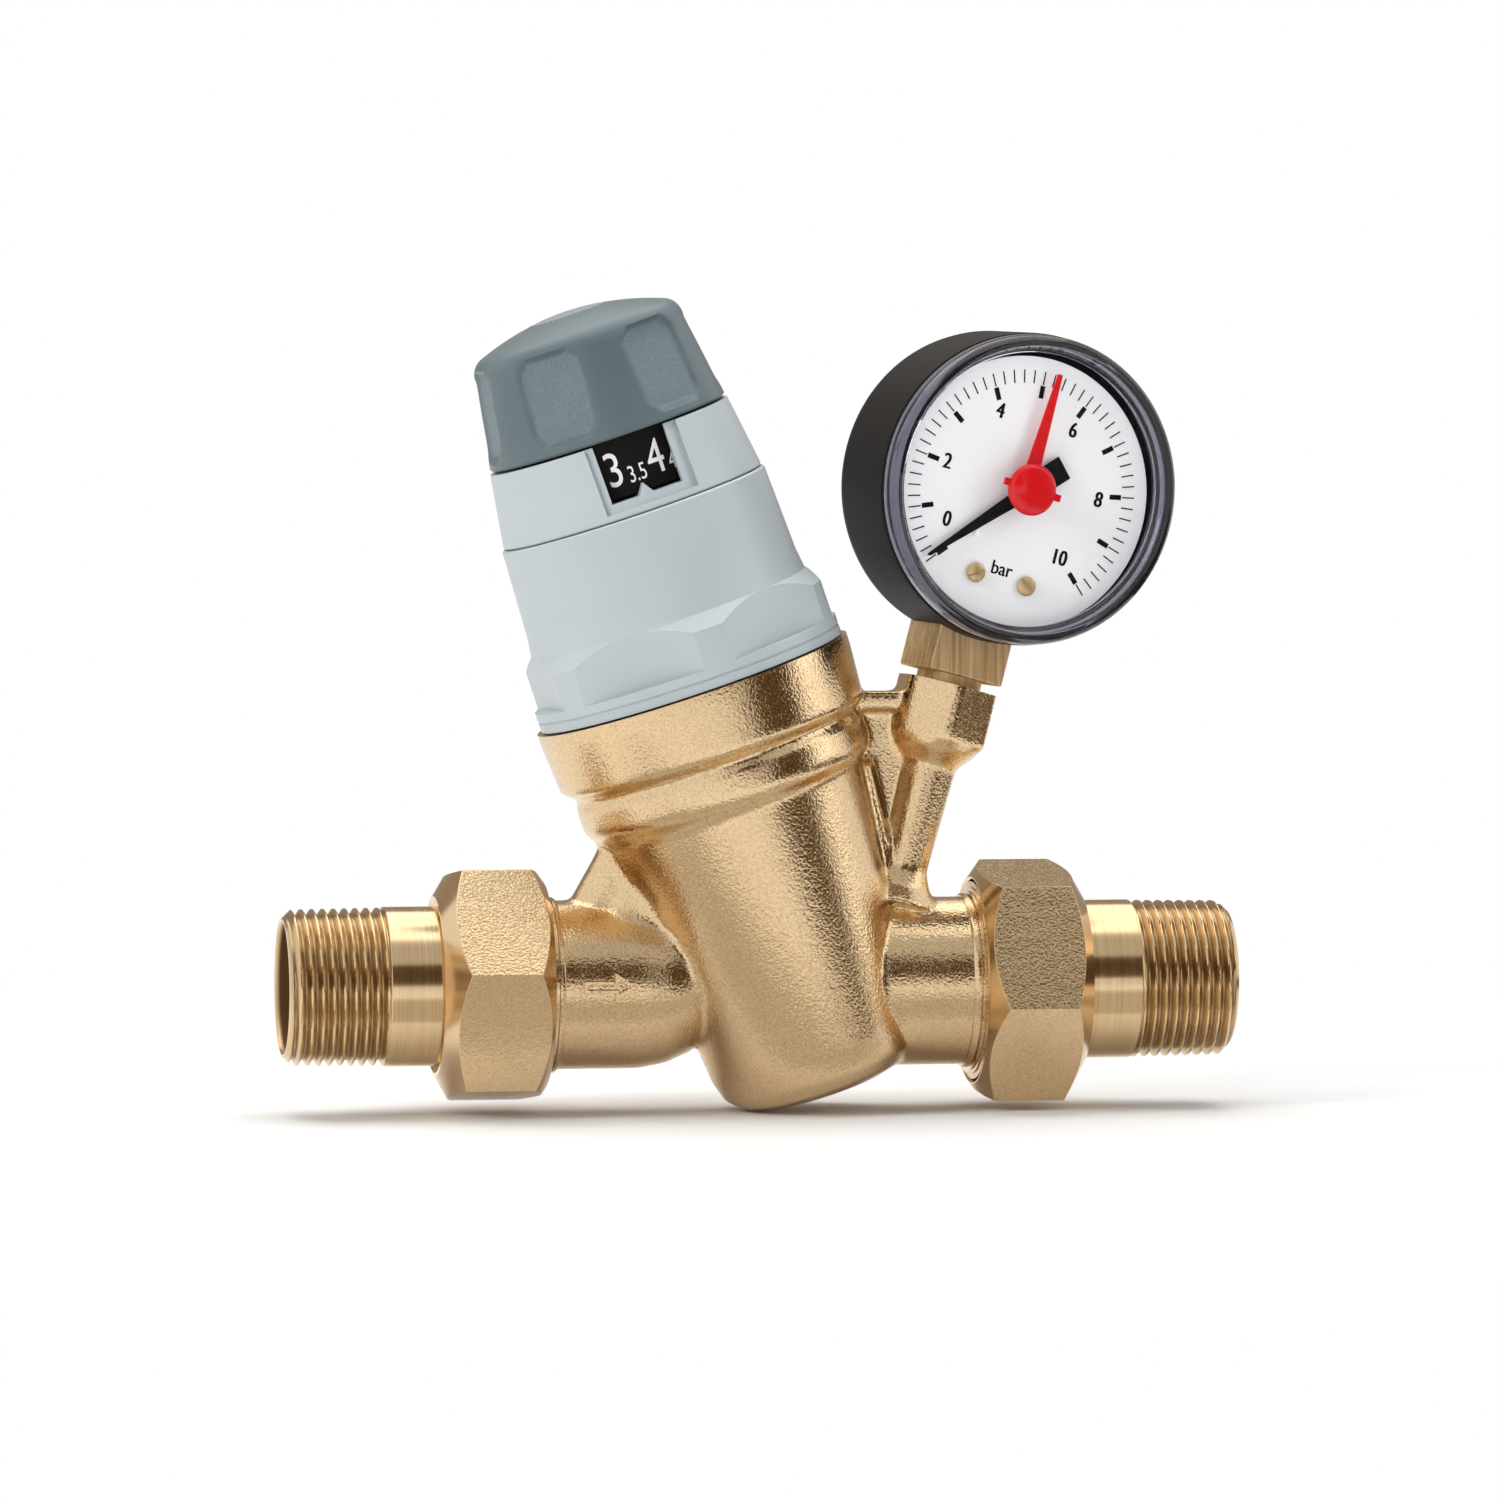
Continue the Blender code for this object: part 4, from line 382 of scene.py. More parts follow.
def mouldedLook(name, plastic):
    # spark-eroded mould grain with a slow drift of tone
    look, shader, spot = newLook(name, Specular_IOR_Level=plastic.get("specular", 0.5))
    grain = spot.noise(plastic["grainScale"], 2.0, 0.6)
    drift = spot.noise(plastic["driftScale"], 2.0, 0.5).span(0.25, 0.75)
    spot.feed(shader.inputs["Base Color"], drift.blend(plastic["dark"], plastic["light"]))
    spot.feed(shader.inputs["Roughness"], grain * 0.12 + drift * 0.05 + plastic["roughness"])
    spot.feed(shader.inputs["Normal"], grain.bump(plastic["strength"], plastic["distance"]))
    return look


brassGrain = {
    "sandScale": 2300.0, "speckScale": 4300.0, "pebbleScale": 1900.0, "swellScale": 420.0, "toneScale": 55.0,
    "sand": 0.70, "speck": 0.22, "pebble": 0.30, "swell": 0.35, "strength": 1.0, "distance": 0.088 * mm,
    "roughness": 0.08, "dark": (0.63, 0.445, 0.24), "mid": (0.775, 0.575, 0.345), "light": (0.82, 0.62, 0.38),
}
nutGrain = dict(brassGrain, sandScale=2500.0, speckScale=4600.0, pebbleScale=2100.0, distance=0.12 * mm,
                skin="castSkin", machined=0.15)
brassCut = {
    "dark": (0.68, 0.48, 0.26), "mid": (0.77, 0.575, 0.345), "light": (0.81, 0.615, 0.375),
    "roughness": 0.11, "spread": 0.12, "strength": 0.06, "distance": 0.02 * mm,
}
# tailpiece finish with painted shade: dark brown in the bore, darker brass in the thread grooves
tailCut = dict(brassCut, dullAndShade="boreDull", boreShadeTone=(0.22, 0.115, 0.045), thread="threadSkin",
               grooveShadeTone=(0.47, 0.335, 0.19))
barCut = dict(brassCut, dark=(0.56, 0.37, 0.17), mid=(0.88, 0.65, 0.37), light=(0.92, 0.69, 0.41), roughness=0.50,
              spread=0.12, strength=0.3)
screwCut = dict(brassCut, mid=(0.86, 0.66, 0.38), light=(0.90, 0.70, 0.42), roughness=0.45)
barrelTurn = (0.0, math.radians(layout["barrelTilt"]), 0.0)
bossTurn = (0.0, -math.radians(layout["bossLean"]), 0.0)
greyPlastic = {
    "dark": (0.455, 0.508, 0.533), "light": (0.492, 0.546, 0.570), "roughness": 0.30,
    "grainScale": 3600.0, "driftScale": 45.0, "strength": 0.10, "distance": 0.02 * mm,
}
slatePlastic = dict(greyPlastic, dark=(0.094, 0.131, 0.146), light=(0.110, 0.150, 0.166), roughness=0.30)
palePlastic = dict(greyPlastic, dark=(0.21, 0.25, 0.27), light=(0.25, 0.29, 0.31), roughness=0.36)
blackPlastic = dict(greyPlastic, dark=(0.011, 0.010, 0.010), light=(0.016, 0.015, 0.015), roughness=0.42,
                    grainScale=2600.0, strength=0.25, specular=0.11)
drumPlastic = dict(blackPlastic, dark=(0.006, 0.005, 0.005), light=(0.009, 0.008, 0.007), roughness=0.45)
redPlastic = dict(greyPlastic, dark=(0.64, 0.004, 0.008), light=(0.70, 0.005, 0.010), roughness=0.08)
whitePrint = dict(greyPlastic, dark=(0.94, 0.945, 0.965), light=(0.965, 0.97, 0.985), roughness=0.45, strength=0.04)
blackPrint = dict(blackPlastic, dark=(0.003, 0.003, 0.003), light=(0.006, 0.006, 0.006), strength=0.05, specular=0.06)
whiteInk = dict(whitePrint, dark=(0.82, 0.82, 0.84), light=(0.90, 0.90, 0.92))
nylonPlastic = dict(greyPlastic, dark=(0.70, 0.68, 0.60), light=(0.78, 0.76, 0.69), roughness=0.42)
rubberSkin = dict(blackPlastic, roughness=0.55, grainScale=1800.0, strength=0.4)
fibreSheet = dict(greyPlastic, dark=(0.07, 0.17, 0.10), light=(0.13, 0.27, 0.16), roughness=0.7, grainScale=900.0,
                  strength=0.5)
steelCut = dict(brassCut, dark=(0.45, 0.45, 0.47), mid=(0.56, 0.56, 0.58), light=(0.64, 0.64, 0.66))

looks = {
    "castBrass": castBrassLook("castBrass", brassGrain),
    "nutBrass": castBrassLook("nutBrass", nutGrain),
    "turnedBrass": turnedBrassLook("turnedBrass", tailCut, (0, 0, 0), (2600.0, 24.0, 24.0)),
    "barBrass": turnedBrassLook("barBrass", barCut, bossTurn, (1300.0, 1300.0, 24.0)),
    "screwBrass": turnedBrassLook("screwBrass", screwCut, bossTurn, (1300.0, 1300.0, 24.0)),
    "innerBrass": turnedBrassLook("innerBrass", brassCut, barrelTurn, (24.0, 24.0, 2600.0)),
    "steel": turnedBrassLook("steel", steelCut, barrelTurn, (24.0, 24.0, 2600.0)),
    "greyMoulding": mouldedLook("greyMoulding", greyPlastic),
    "slateMoulding": mouldedLook("slateMoulding", slatePlastic),
    "paleMoulding": mouldedLook("paleMoulding", palePlastic),
    "blackMoulding": mouldedLook("blackMoulding", blackPlastic),
    "drumBlack": mouldedLook("drumBlack", drumPlastic),
    "redMoulding": mouldedLook("redMoulding", redPlastic),
    "dialWhite": mouldedLook("dialWhite", whitePrint),
    "dialBlack": mouldedLook("dialBlack", blackPrint),
    "whiteInk": mouldedLook("whiteInk", whiteInk),
    "nylon": mouldedLook("nylon", nylonPlastic),
    "rubber": mouldedLook("rubber", rubberSkin),
    "fibre": mouldedLook("fibre", fibreSheet),
}
print("finishes ready,", len(looks))


def slateKnobLook():
    # smooth between the panels, sand-grained inside them, by the mesh's own grip attribute
    look, shader, spot = newLook("slateKnob")
    grip = spot.add("ShaderNodeAttribute", {"attribute_name": "grip"}, {}, "Fac")
    speckle = spot.noise(3300.0, 2.0, 0.7)
    skin = spot.noise(3800.0, 1.0, 0.5)
    drift = spot.noise(45.0, 2.0, 0.5).span(0.25, 0.75)
    smooth = drift.blend(slatePlastic["dark"], slatePlastic["light"])
    sanded = speckle.span(0.25, 0.75).blend((0.118, 0.161, 0.180), (0.182, 0.234, 0.257))
    spot.feed(shader.inputs["Base Color"], grip.blend(smooth, sanded))
    spot.feed(shader.inputs["Roughness"], grip * 0.16 + skin * 0.08 + 0.33)
    height = speckle * grip * 0.9 + skin * 0.12
    spot.feed(shader.inputs["Normal"], height.bump(0.4, 0.06 * mm))
    return look


def clearPaneLook():
    look, shader, spot = newLook("clearPane", Roughness=0.04, IOR=1.49)
    haze = spot.noise(60.0, 2.0, 0.5)
    spot.feed(shader.inputs["Base Color"], haze.blend((0.80, 0.83, 0.88), (0.90, 0.92, 0.96)))
    spot.feed(shader.inputs["Alpha"], haze * 0.004 + 0.002)
    return look


def clearRimLook():
    look, shader, spot = newLook("clearRim", IOR=1.49, Transmission_Weight=1.0)
    haze = spot.noise(120.0, 2.0, 0.5)
    spot.feed(shader.inputs["Base Color"], haze.blend((0.165, 0.162, 0.215), (0.225, 0.225, 0.285)))
    spot.feed(shader.inputs["Roughness"], haze * 0.04 + 0.02)
    return look


looks["slateKnob"] = slateKnobLook()
looks["clearPane"] = clearPaneLook()
looks["clearRim"] = clearRimLook()


stageValues = {
    "floorSize": 8.0, "floorTone": (0.86, 0.86, 0.86), "ambient": 0.44,
    "azimuth": -9.5, "elevation": 4.0, "distance": 1.5, "lens": 214.9,
    "aimRight": -0.00122, "aimUp": 0.03895,
}


def backgroundRays(tree):
    # the camera, metal and glass all see the white ground
    path = tree.nodes.new("ShaderNodeLightPath")
    seen = Wire(tree, path.outputs["Is Camera Ray"])
    for ray in ("Is Glossy Ray", "Is Transmission Ray"):
        seen = seen.maths("MAXIMUM", seen, Wire(tree, path.outputs[ray]))
    return seen


def whiteWorld():
    world = bpy.data.worlds.new("studio")
    bpy.context.scene.world = world
    world.use_nodes = True
    tree = world.node_tree
    world.cycles.sampling_method = "NONE"        # an even sky needs no map, and the cards then hide it
    seen = backgroundRays(tree)
    back = tree.nodes["Background"]
    back.inputs["Color"].default_value = (1, 1, 1, 1)
    seen.feed(back.inputs["Strength"], seen * (1.0 - stageValues["ambient"]) + stageValues["ambient"])


def whiteFloor(level):
    bpy.ops.object.select_all(action="DESELECT")
    bpy.ops.mesh.primitive_plane_add(size=stageValues["floorSize"], location=(0, 0, level))
    floor = bpy.context.object
    floor.name = "floor"
    bpy.ops.object.mode_set(mode="EDIT")
    bpy.ops.mesh.subdivide(number_cuts=8)
    bpy.ops.object.mode_set(mode="OBJECT")
    look, shader, spot = newLook("floorPaper", Roughness=0.9)
    grain = spot.noise(30.0, 2.0, 0.5)
    tone = stageValues["floorTone"]
    spot.feed(shader.inputs["Base Color"], grain.blend(tuple(0.985 * value for value in tone), tone))
    # white to the camera away from the object's shadow
    tree = look.node_tree
    glow = spot.add("ShaderNodeEmission", {}, {"Color": (1, 1, 1, 1), "Strength": 1.0})
    seen = backgroundRays(tree)
    radius = spot.add("ShaderNodeVectorMath", {"operation": "LENGTH"}, {0: spot}, "Value")
    fade = radius.span(0.10, 0.34) * seen
    mixed = spot.add("ShaderNodeMixShader", {}, {"Fac": fade, 1: Wire(tree, shader.outputs["BSDF"]), 2: glow})
    spot.feed(tree.nodes["Material Output"].inputs["Surface"], mixed)
    floor.data.materials.append(look)


lamps = [
    # name, place, size, watts, colour; the metal sees the cards instead
    ("overhead", (-0.05, 0.15, 1.15), (1.1, 0.9), 10.5, (1.0, 0.99, 0.97)),
    ("key", (-1.35, -0.75, 0.85), (0.6, 0.8), 13.0, (1.0, 0.985, 0.96)),
    ("rightFill", (1.25, -0.60, 0.50), (0.4, 0.9), 4.8, (0.97, 0.985, 1.0)),
]
cards = [
    # name, place, point it faces, width, height, tone: only reflections see them
    ("frontCard", (0.25, -1.78, 0.66), (0, 0, 0.22), 1.00, 1.05, (0.085, 0.052, 0.026)),
    ("sideCard", (0.565, -0.535, 0.215), (0, 0, 0.215), 0.55, 0.47, (0.085, 0.052, 0.026)),
    ("upperCard", (0.12, -1.14, 1.52), (0, 0, 0.22), 2.60, 1.20, (0.56, 0.55, 0.53)),
    ("skyCard", (-0.05, 0.57, 1.25), (-0.05, 0.57, 0), 1.70, 1.80, (1.85, 1.83, 1.80)),
    ("backCard", (0, 1.80, 0.72), (0, 0, 0.72), 3.20, 1.35, (0.32, 0.265, 0.205)),
    ("rightCard", (1.20, -0.30, 0.55), (0, 0, 0.10), 0.70, 0.90, (1.45, 1.45, 1.45)),
    ("rightMat", (0.60, -0.05, -0.019), (0.60, -0.05, 1.0), 0.80, 0.50, (0.14, 0.105, 0.07)),
    # a sheet darker than the floor just in front of the object: painted floor shadow, seen only in reflections
    ("floorShadowMat", (0, -0.058, -0.0205), (0, -0.058, 1.0), 0.20, 0.065, (0.56, 0.53, 0.48)),
    ("frontMat", (0.39, -0.44, -0.0195), (0.39, -0.44, 1.0), 0.46, 0.50, (0.09, 0.06, 0.035)),
]


def aimAt(piece, point):
    piece.rotation_mode = "QUATERNION"
    piece.rotation_quaternion = (Vector(point) - piece.location).to_track_quat("-Z", "Y")


def lightUp():
    for name, place, size, watts, colour in lamps:
        bpy.ops.object.light_add(type="AREA", location=place)
        lamp = bpy.context.object
        lamp.name = name
        lamp.data.shape = "RECTANGLE"
        lamp.data.size, lamp.data.size_y = size
        lamp.data.energy = watts
        lamp.data.color = colour
        lamp.visible_glossy = False
        aimAt(lamp, (0, 0, 0.04))
    for name, place, point, width, height, tone in cards:
        shade, shader, spot = newLook(name, Roughness=1.0, Specular_IOR_Level=0.0, Emission_Strength=1.0,
                                      Base_Color=(0, 0, 0, 1))
        spot.feed(shader.inputs["Emission Color"], spot.noise(2.0).blend(tone, tuple(1.15 * value for value in tone)))
        bpy.ops.object.select_all(action="DESELECT")
        bpy.ops.mesh.primitive_plane_add(size=1, location=place)
        card = bpy.context.object
        card.name = name
        card.scale = (width, height, 1)
        aimAt(card, point)
        card.data.materials.append(shade)
        card.visible_camera = False
        card.visible_diffuse = False
        card.visible_shadow = False
        card.visible_transmission = False


def setCamera():
    azimuth = math.radians(stageValues["azimuth"])
    elevation = math.radians(stageValues["elevation"])
    back = Vector((math.sin(azimuth) * math.cos(elevation), -math.cos(azimuth) * math.cos(elevation),
                   math.sin(elevation)))
    right = Vector((math.cos(azimuth), math.sin(azimuth), 0))
    up = back.cross(right)
    bpy.ops.object.camera_add(location=back * stageValues["distance"])
    camera = bpy.context.object
    camera.name = "photoCamera"
    camera.data.sensor_width = 36.0
    camera.data.lens = stageValues["lens"]
    camera.data.clip_start = 0.05
    aimAt(camera, right * stageValues["aimRight"] + up * stageValues["aimUp"])
    bpy.context.scene.camera = camera


bpy.context.scene.view_settings.view_transform = "Standard"
setCamera()
whiteWorld()
whiteFloor(cadBox[0].z - 0.0002)
lightUp()
print("stage, light and camera set")


casting = {
    "voxel": 0.48 * mm, "rounds": 12, "half": 44.0 * mm, "neck": 14.1 * mm, "thread": 16.62 * mm, "bore": 9.8 * mm,
    "depth": -18.87 * mm, "foot": 18.1 * mm, "top": 22.7 * mm, "topAt": 32.2 * mm, "band": 25.0 * mm,
    "collar": 27.2 * mm, "collarTop": 53.0 * mm, "bossFlats": 15.6 * mm, "bossTurn": 4.5, "bossHeight": 10.2 * mm,
    "column": 4.8 * mm, "bead": 1.8 * mm, "beadOut": 3.0 * mm, "beadSpan": (8.5 * mm, 31.2 * mm),
    "hollowHigh": Vector((-24.0, 20.0)) * mm, "hollowLow": Vector((-18.5, 5.0)) * mm, "hollowReach": 8.0 * mm,
    "hollowRounds": 45,
    "arrowX": -27.0 * mm, "arrowZ": 0.5 * mm, "arrowLength": 8.8 * mm, "arrowRaise": 1.0 * mm,
}


def castingBlank():
    c = casting
    lay = turnAbout("Y", 90)
    depth, foot, top, band, collar = c["depth"], c["foot"], c["topAt"], c["band"], c["collar"]
    barrel = spun("castBody", [
        (0, depth), (foot * 0.58, depth), (foot * 0.80, depth + 1.2 * mm), (foot * 0.94, depth + 3.6 * mm),
        (foot, depth + 7.2 * mm), (c["top"], top), (band - 0.4 * mm, top + 1.8 * mm), (band, top + 3.2 * mm),
        (band, top + 6.9 * mm), (band - 0.9 * mm, top + 8.4 * mm), (collar - 0.6 * mm, top + 10.2 * mm),
        (collar, c["collarTop"] - 2.0 * mm), (collar, c["collarTop"] + 2.0 * mm), (0, c["collarTop"] + 2.0 * mm),
    ], 96)
    settled(barrel, barrelPlace)
    neck, end = c["neck"], c["half"] - 8.0 * mm
    inlet = settled(spun("inletNeck", [
        (0, -end), (neck, -end), (neck, -20.5 * mm), (neck - 0.8 * mm, -16.0 * mm), (neck - 2.6 * mm, -11.8 * mm),
        (neck * 0.55, -6.8 * mm), (0, -4.0 * mm),
    ], 72), lay)
    outlet = settled(spun("outletNeck", [
        (0, end), (neck, end), (neck, 14.0 * mm), (neck - 2.0 * mm, 8.0 * mm), (0, 6.0 * mm),
    ], 72), lay)
    boss = hexBar("gaugeBoss", c["bossFlats"], -c["bossHeight"], 2.0 * mm, c["bossTurn"])
    settled(softened(boss, 1.3 * mm, 4), bossPlace)
    waist, low, column = c["bossFlats"] / 2, -c["bossHeight"], c["column"]
    stalk = settled(spun("gaugeStalk", [
        (0, low + 2.0 * mm), (waist, low + 2.0 * mm), (waist - 0.4 * mm, low - 0.6 * mm), (column, low - 3.4 * mm),
        (column - 0.6 * mm, -31.5 * mm), (column + 0.6 * mm, -34.5 * mm), (column + 3.6 * mm, -37.5 * mm),
        (0, -39.0 * mm),
    ], 48), bossPlace)
    bossX, bossZ = layout["bossX"], layout["bossZ"]
    web = cutOut("web", [
        (8.0 * mm, bossZ - 4.0 * mm), (bossX - 4.0 * mm, bossZ - 4.0 * mm), (bossX - 8.0 * mm, 16.0 * mm),
        (8.0 * mm, 10.0 * mm),
    ], -2.2 * mm, 2.2 * mm)
    bridge = cutOut("bridge", [
        (8.0 * mm, bossZ - 1.0 * mm), (bossX - 3.0 * mm, bossZ - 1.0 * mm), (bossX - 3.0 * mm, bossZ - 4.0 * mm),
        (8.0 * mm, bossZ - 4.0 * mm),
    ], -4.0 * mm, 4.0 * mm)
    beads = []
    for side in (-1, 1):
        low, high = (barrelPlace @ Vector((c["foot"] + (c["top"] - c["foot"]) * (at + 11.7 * mm) / 43.9 / mm,
                                           side * c["beadOut"], at)) for at in c["beadSpan"])
        bead = spun("bead", [(0, 0), (c["bead"], 0), (c["bead"] * 0.9, (high - low).length), (0, (high - low).length)], 24)
        beads.append(settled(bead, Matrix.Translation(low) @ (high - low).to_track_quat("Z", "Y").to_matrix().to_4x4()))
    gusset = settled(
        spun("gusset", [(0, 0), (7.0 * mm, 0), (4.0 * mm, 20.0 * mm), (0, 20.0 * mm)], 40),
        Matrix.Translation((-27.1 * mm, 0, 8.0 * mm)) @ turnAbout("Y", 20),
    )
    gussetFoot = settled(
        spun("gussetFoot", [(0, 0), (10.2 * mm, 0), (7.2 * mm, 18.0 * mm), (0, 18.0 * mm)], 40),
        Matrix.Translation((-21.3 * mm, 0, 6.0 * mm)) @ turnAbout("Y", 20),
    )
    blank = joined(barrel, inlet, outlet, boss, stalk, web, bridge, gusset, gussetFoot, *beads)
    applied(blank, "REMESH", mode="VOXEL", voxel_size=c["voxel"])
    applied(blank, "SMOOTH", factor=0.5, iterations=c["rounds"])
    # a wider fillet in the hollow between the gusset and the barrel
    high, low, reach = c["hollowHigh"], c["hollowLow"], c["hollowReach"]
    run = (high - low).normalized()
    hollow = blank.vertex_groups.new(name="hollow")
    for vertex in blank.data.vertices:
        away = Vector((vertex.co.x, vertex.co.z)) - low
        along = min(max(away.dot(run), 0.0), (high - low).length)
        share = 1.0 - (away - run * along).length / reach
        if share > 0:
            hollow.add([vertex.index], min(2.0 * share, 1.0), "REPLACE")
    applied(blank, "SMOOTH", factor=0.5, iterations=c["hollowRounds"], vertex_group="hollow")
    return blank


def unionSpigot(name, sign):
    c = casting
    foot, thread, half = c["half"] - 9.0 * mm, c["thread"], c["half"]
    return settled(spun(name, [
        (0, foot - 0.6 * mm), (c["neck"] + 0.25 * mm, foot - 0.6 * mm), (c["neck"] + 0.55 * mm, foot - 0.2 * mm),
        (c["neck"] + 0.55 * mm, foot + 0.3 * mm), (c["neck"] + 0.2 * mm, foot + 0.4 * mm),
        (c["neck"] + 0.2 * mm, foot + 0.6 * mm), (c["neck"] + 0.95 * mm, foot + 0.7 * mm),
        (c["neck"] + 0.95 * mm, foot + 1.0 * mm), (c["neck"] + 1.65 * mm, foot + 1.1 * mm),
        (c["neck"] + 1.65 * mm, foot + 1.35 * mm), (thread, foot + 1.5 * mm), (thread, half - 1.0 * mm),
        (thread - 1.0 * mm, half), (0, half),
    ], 96), turnAbout("Y", sign * 90))


def flowArrow():
    # raised outline of an arrow on the inlet neck
    c = casting
    head, shaft, barb, rib = 3.6 * mm, 1.0 * mm, 2.4 * mm, 0.55 * mm
    tail, nose = c["arrowX"] - c["arrowLength"] / 2, c["arrowX"] + c["arrowLength"] / 2
    neck, z = nose - head, c["arrowZ"]
    arrow = cutOut("flowArrow", [
        (tail, z - shaft), (neck, z - shaft), (neck, z - barb), (nose, z), (neck, z + barb), (neck, z + shaft),
        (tail, z + shaft),
    ], -c["neck"] - c["arrowRaise"], -c["neck"] + 0.8 * mm)
    inner, point = shaft - rib, nose - 2.0 * rib
    cutBy(arrow, cutOut("arrowInside", [
        (tail + rib, z - inner), (neck + rib, z - inner), (neck + rib, z - barb + 2.4 * rib), (point, z),
        (neck + rib, z + barb - 2.4 * rib), (neck + rib, z + inner), (tail + rib, z + inner),
    ], -c["neck"] - 2.0 * mm, -c["neck"] + 0.05 * mm))
    return softened(arrow, 0.07 * mm, 2)


def makeCasting():
    c = casting
    body = castingBlank()
    cutBy(body, unionSpigot("inletSpigot", -1), "UNION")
    cutBy(body, unionSpigot("outletSpigot", 1), "UNION")
    cutBy(body, flowArrow(), "UNION")
    top, ledge = c["collarTop"], 40.0 * mm
    cutBy(body, settled(spun("cavity", [
        (0, -15.3 * mm), (11.0 * mm, -15.3 * mm), (13.0 * mm, -13.3 * mm), (13.0 * mm, -3.0 * mm), (11.3 * mm, -3.0 * mm),
        (11.3 * mm, 3.0 * mm), (16.0 * mm, 3.0 * mm), (16.0 * mm, 23.0 * mm), (15.0 * mm, 24.0 * mm),
        (15.0 * mm, 33.0 * mm), (20.0 * mm, 33.0 * mm), (20.0 * mm, ledge), (23.0 * mm, ledge), (23.0 * mm, top),
        (34.0 * mm, top), (34.0 * mm, top + 6.0 * mm), (0, top + 6.0 * mm),
    ], 64), barrelPlace))
    for name, foot, sign in (("inletBore", 10.5 * mm, -1), ("outletBore", 25.6 * mm, 1)):
        cutBy(body, settled(spun(name, [(0, foot), (c["bore"], foot), (c["bore"], 60.0 * mm), (0, 60.0 * mm)], 64),
                            turnAbout("Y", sign * 90)))
    # a flat oval passage joins the outlet to the chamber under the seat
    cutBy(body, settled(
        spun("outletPassage", [(0, 12.0 * mm), (5.2 * mm, 12.0 * mm), (5.2 * mm, 30.0 * mm), (0, 30.0 * mm)], 48),
        Matrix.Translation((0, 0, -4.2 * mm)) @ turnAbout("Y", 90) @ Matrix.Diagonal((1, 1.5, 1, 1)),
    ))
    cutBy(body, settled(spun("gaugePort", [
        (0, -11.5 * mm), (1.5 * mm, -11.5 * mm), (6.5 * mm, -9.5 * mm), (6.5 * mm, 0), (16.0 * mm, 0),
        (16.0 * mm, 4.0 * mm), (0, 4.0 * mm),
    ], 48), bossPlace))
    smoothed(body, 40)
    handOver(body, looks["castBrass"], "valve", "cast_brass", "valve_body")
    print("casting,", len(body.data.polygons), "faces")


makeCasting()


union = {
    "end": 80.0 * mm, "thread": 13.22 * mm, "threadLength": 16.8 * mm, "pitch": 1.814 * mm, "threadDepth": 1.10 * mm,
    "taper": 0.20 * mm, "shank": 13.3 * mm, "bore": 10.4 * mm, "flange": 14.9 * mm, "flangeFoot": 46.6 * mm,
    "flangeTop": 49.8 * mm, "nutFace": 54.6 * mm, "nutLength": 18.2 * mm, "nutFlats": 36.8 * mm,
    "nutTurn": {"inlet": 8.4, "outlet": 9.5}, "rowsPerPitch": 12, "round": 144,
}


def threadedTail(side, sign):
    u = union
    start = u["end"] - u["threadLength"]
    rows = int(u["threadLength"] / u["pitch"] * u["rowsPerPitch"])
    heights = [start + u["threadLength"] * row / rows for row in range(rows + 1)]
    tail = spun(side + "Tail", [
        (u["bore"], u["flangeFoot"]), (u["flange"], u["flangeFoot"]), (u["flange"], u["flangeTop"]),
        (u["shank"], u["flangeTop"]), (u["shank"], u["flangeTop"] + 0.5 * mm), (u["shank"], start - 0.6 * mm),
        (u["shank"], start - 0.1 * mm), (u["shank"] - 0.08 * mm, start - 0.02 * mm),
        *[(u["thread"], height) for height in heights], (u["bore"] + 0.7 * mm, u["end"]),
        (u["bore"], u["end"] - 0.9 * mm),
    ], u["round"])
    # marks the bore, for a rougher finish and painted shade
    dullAndShade = tail.data.attributes.new("boreDull", "FLOAT", "POINT")
    # marks the thread grooves, for painted shade
    skin = tail.data.attributes.new("threadSkin", "FLOAT", "POINT")
    # the V thread winds round by a pitch a turn, runs in at the shank and is chamfered at the face
    for vertex in tail.data.vertices:
        across = math.hypot(vertex.co.x, vertex.co.y)
        along = vertex.co.z - start
        if across < u["bore"] + 0.1 * mm:
            dullAndShade.data[vertex.index].value = 1.0
        if along < -1e-6 or across < u["bore"] + 1.0 * mm:
            continue
        angle = math.atan2(vertex.co.y, vertex.co.x)
        phase = (along / u["pitch"] - angle / math.tau) % 1.0
        groove = min(max((abs(2 * phase - 1) - 0.14) / 0.72, 0.0), 1.0)
        skin.data[vertex.index].value = groove
        runIn = min(along / (0.15 * u["pitch"]), 1.0)
        crest = u["thread"] - u["taper"] * along / u["threadLength"]
        wanted = crest - u["threadDepth"] * groove * runIn
        wanted = min(wanted, crest - 1.5 * mm + (u["threadLength"] - along) * 0.95)
        vertex.co.x *= wanted / across
        vertex.co.y *= wanted / across
    settled(tail, turnAbout("Y", sign * 90))
    smoothed(tail, 42)
    handOver(tail, looks["turnedBrass"], "valve", "turned_brass", side + "_tailpiece")


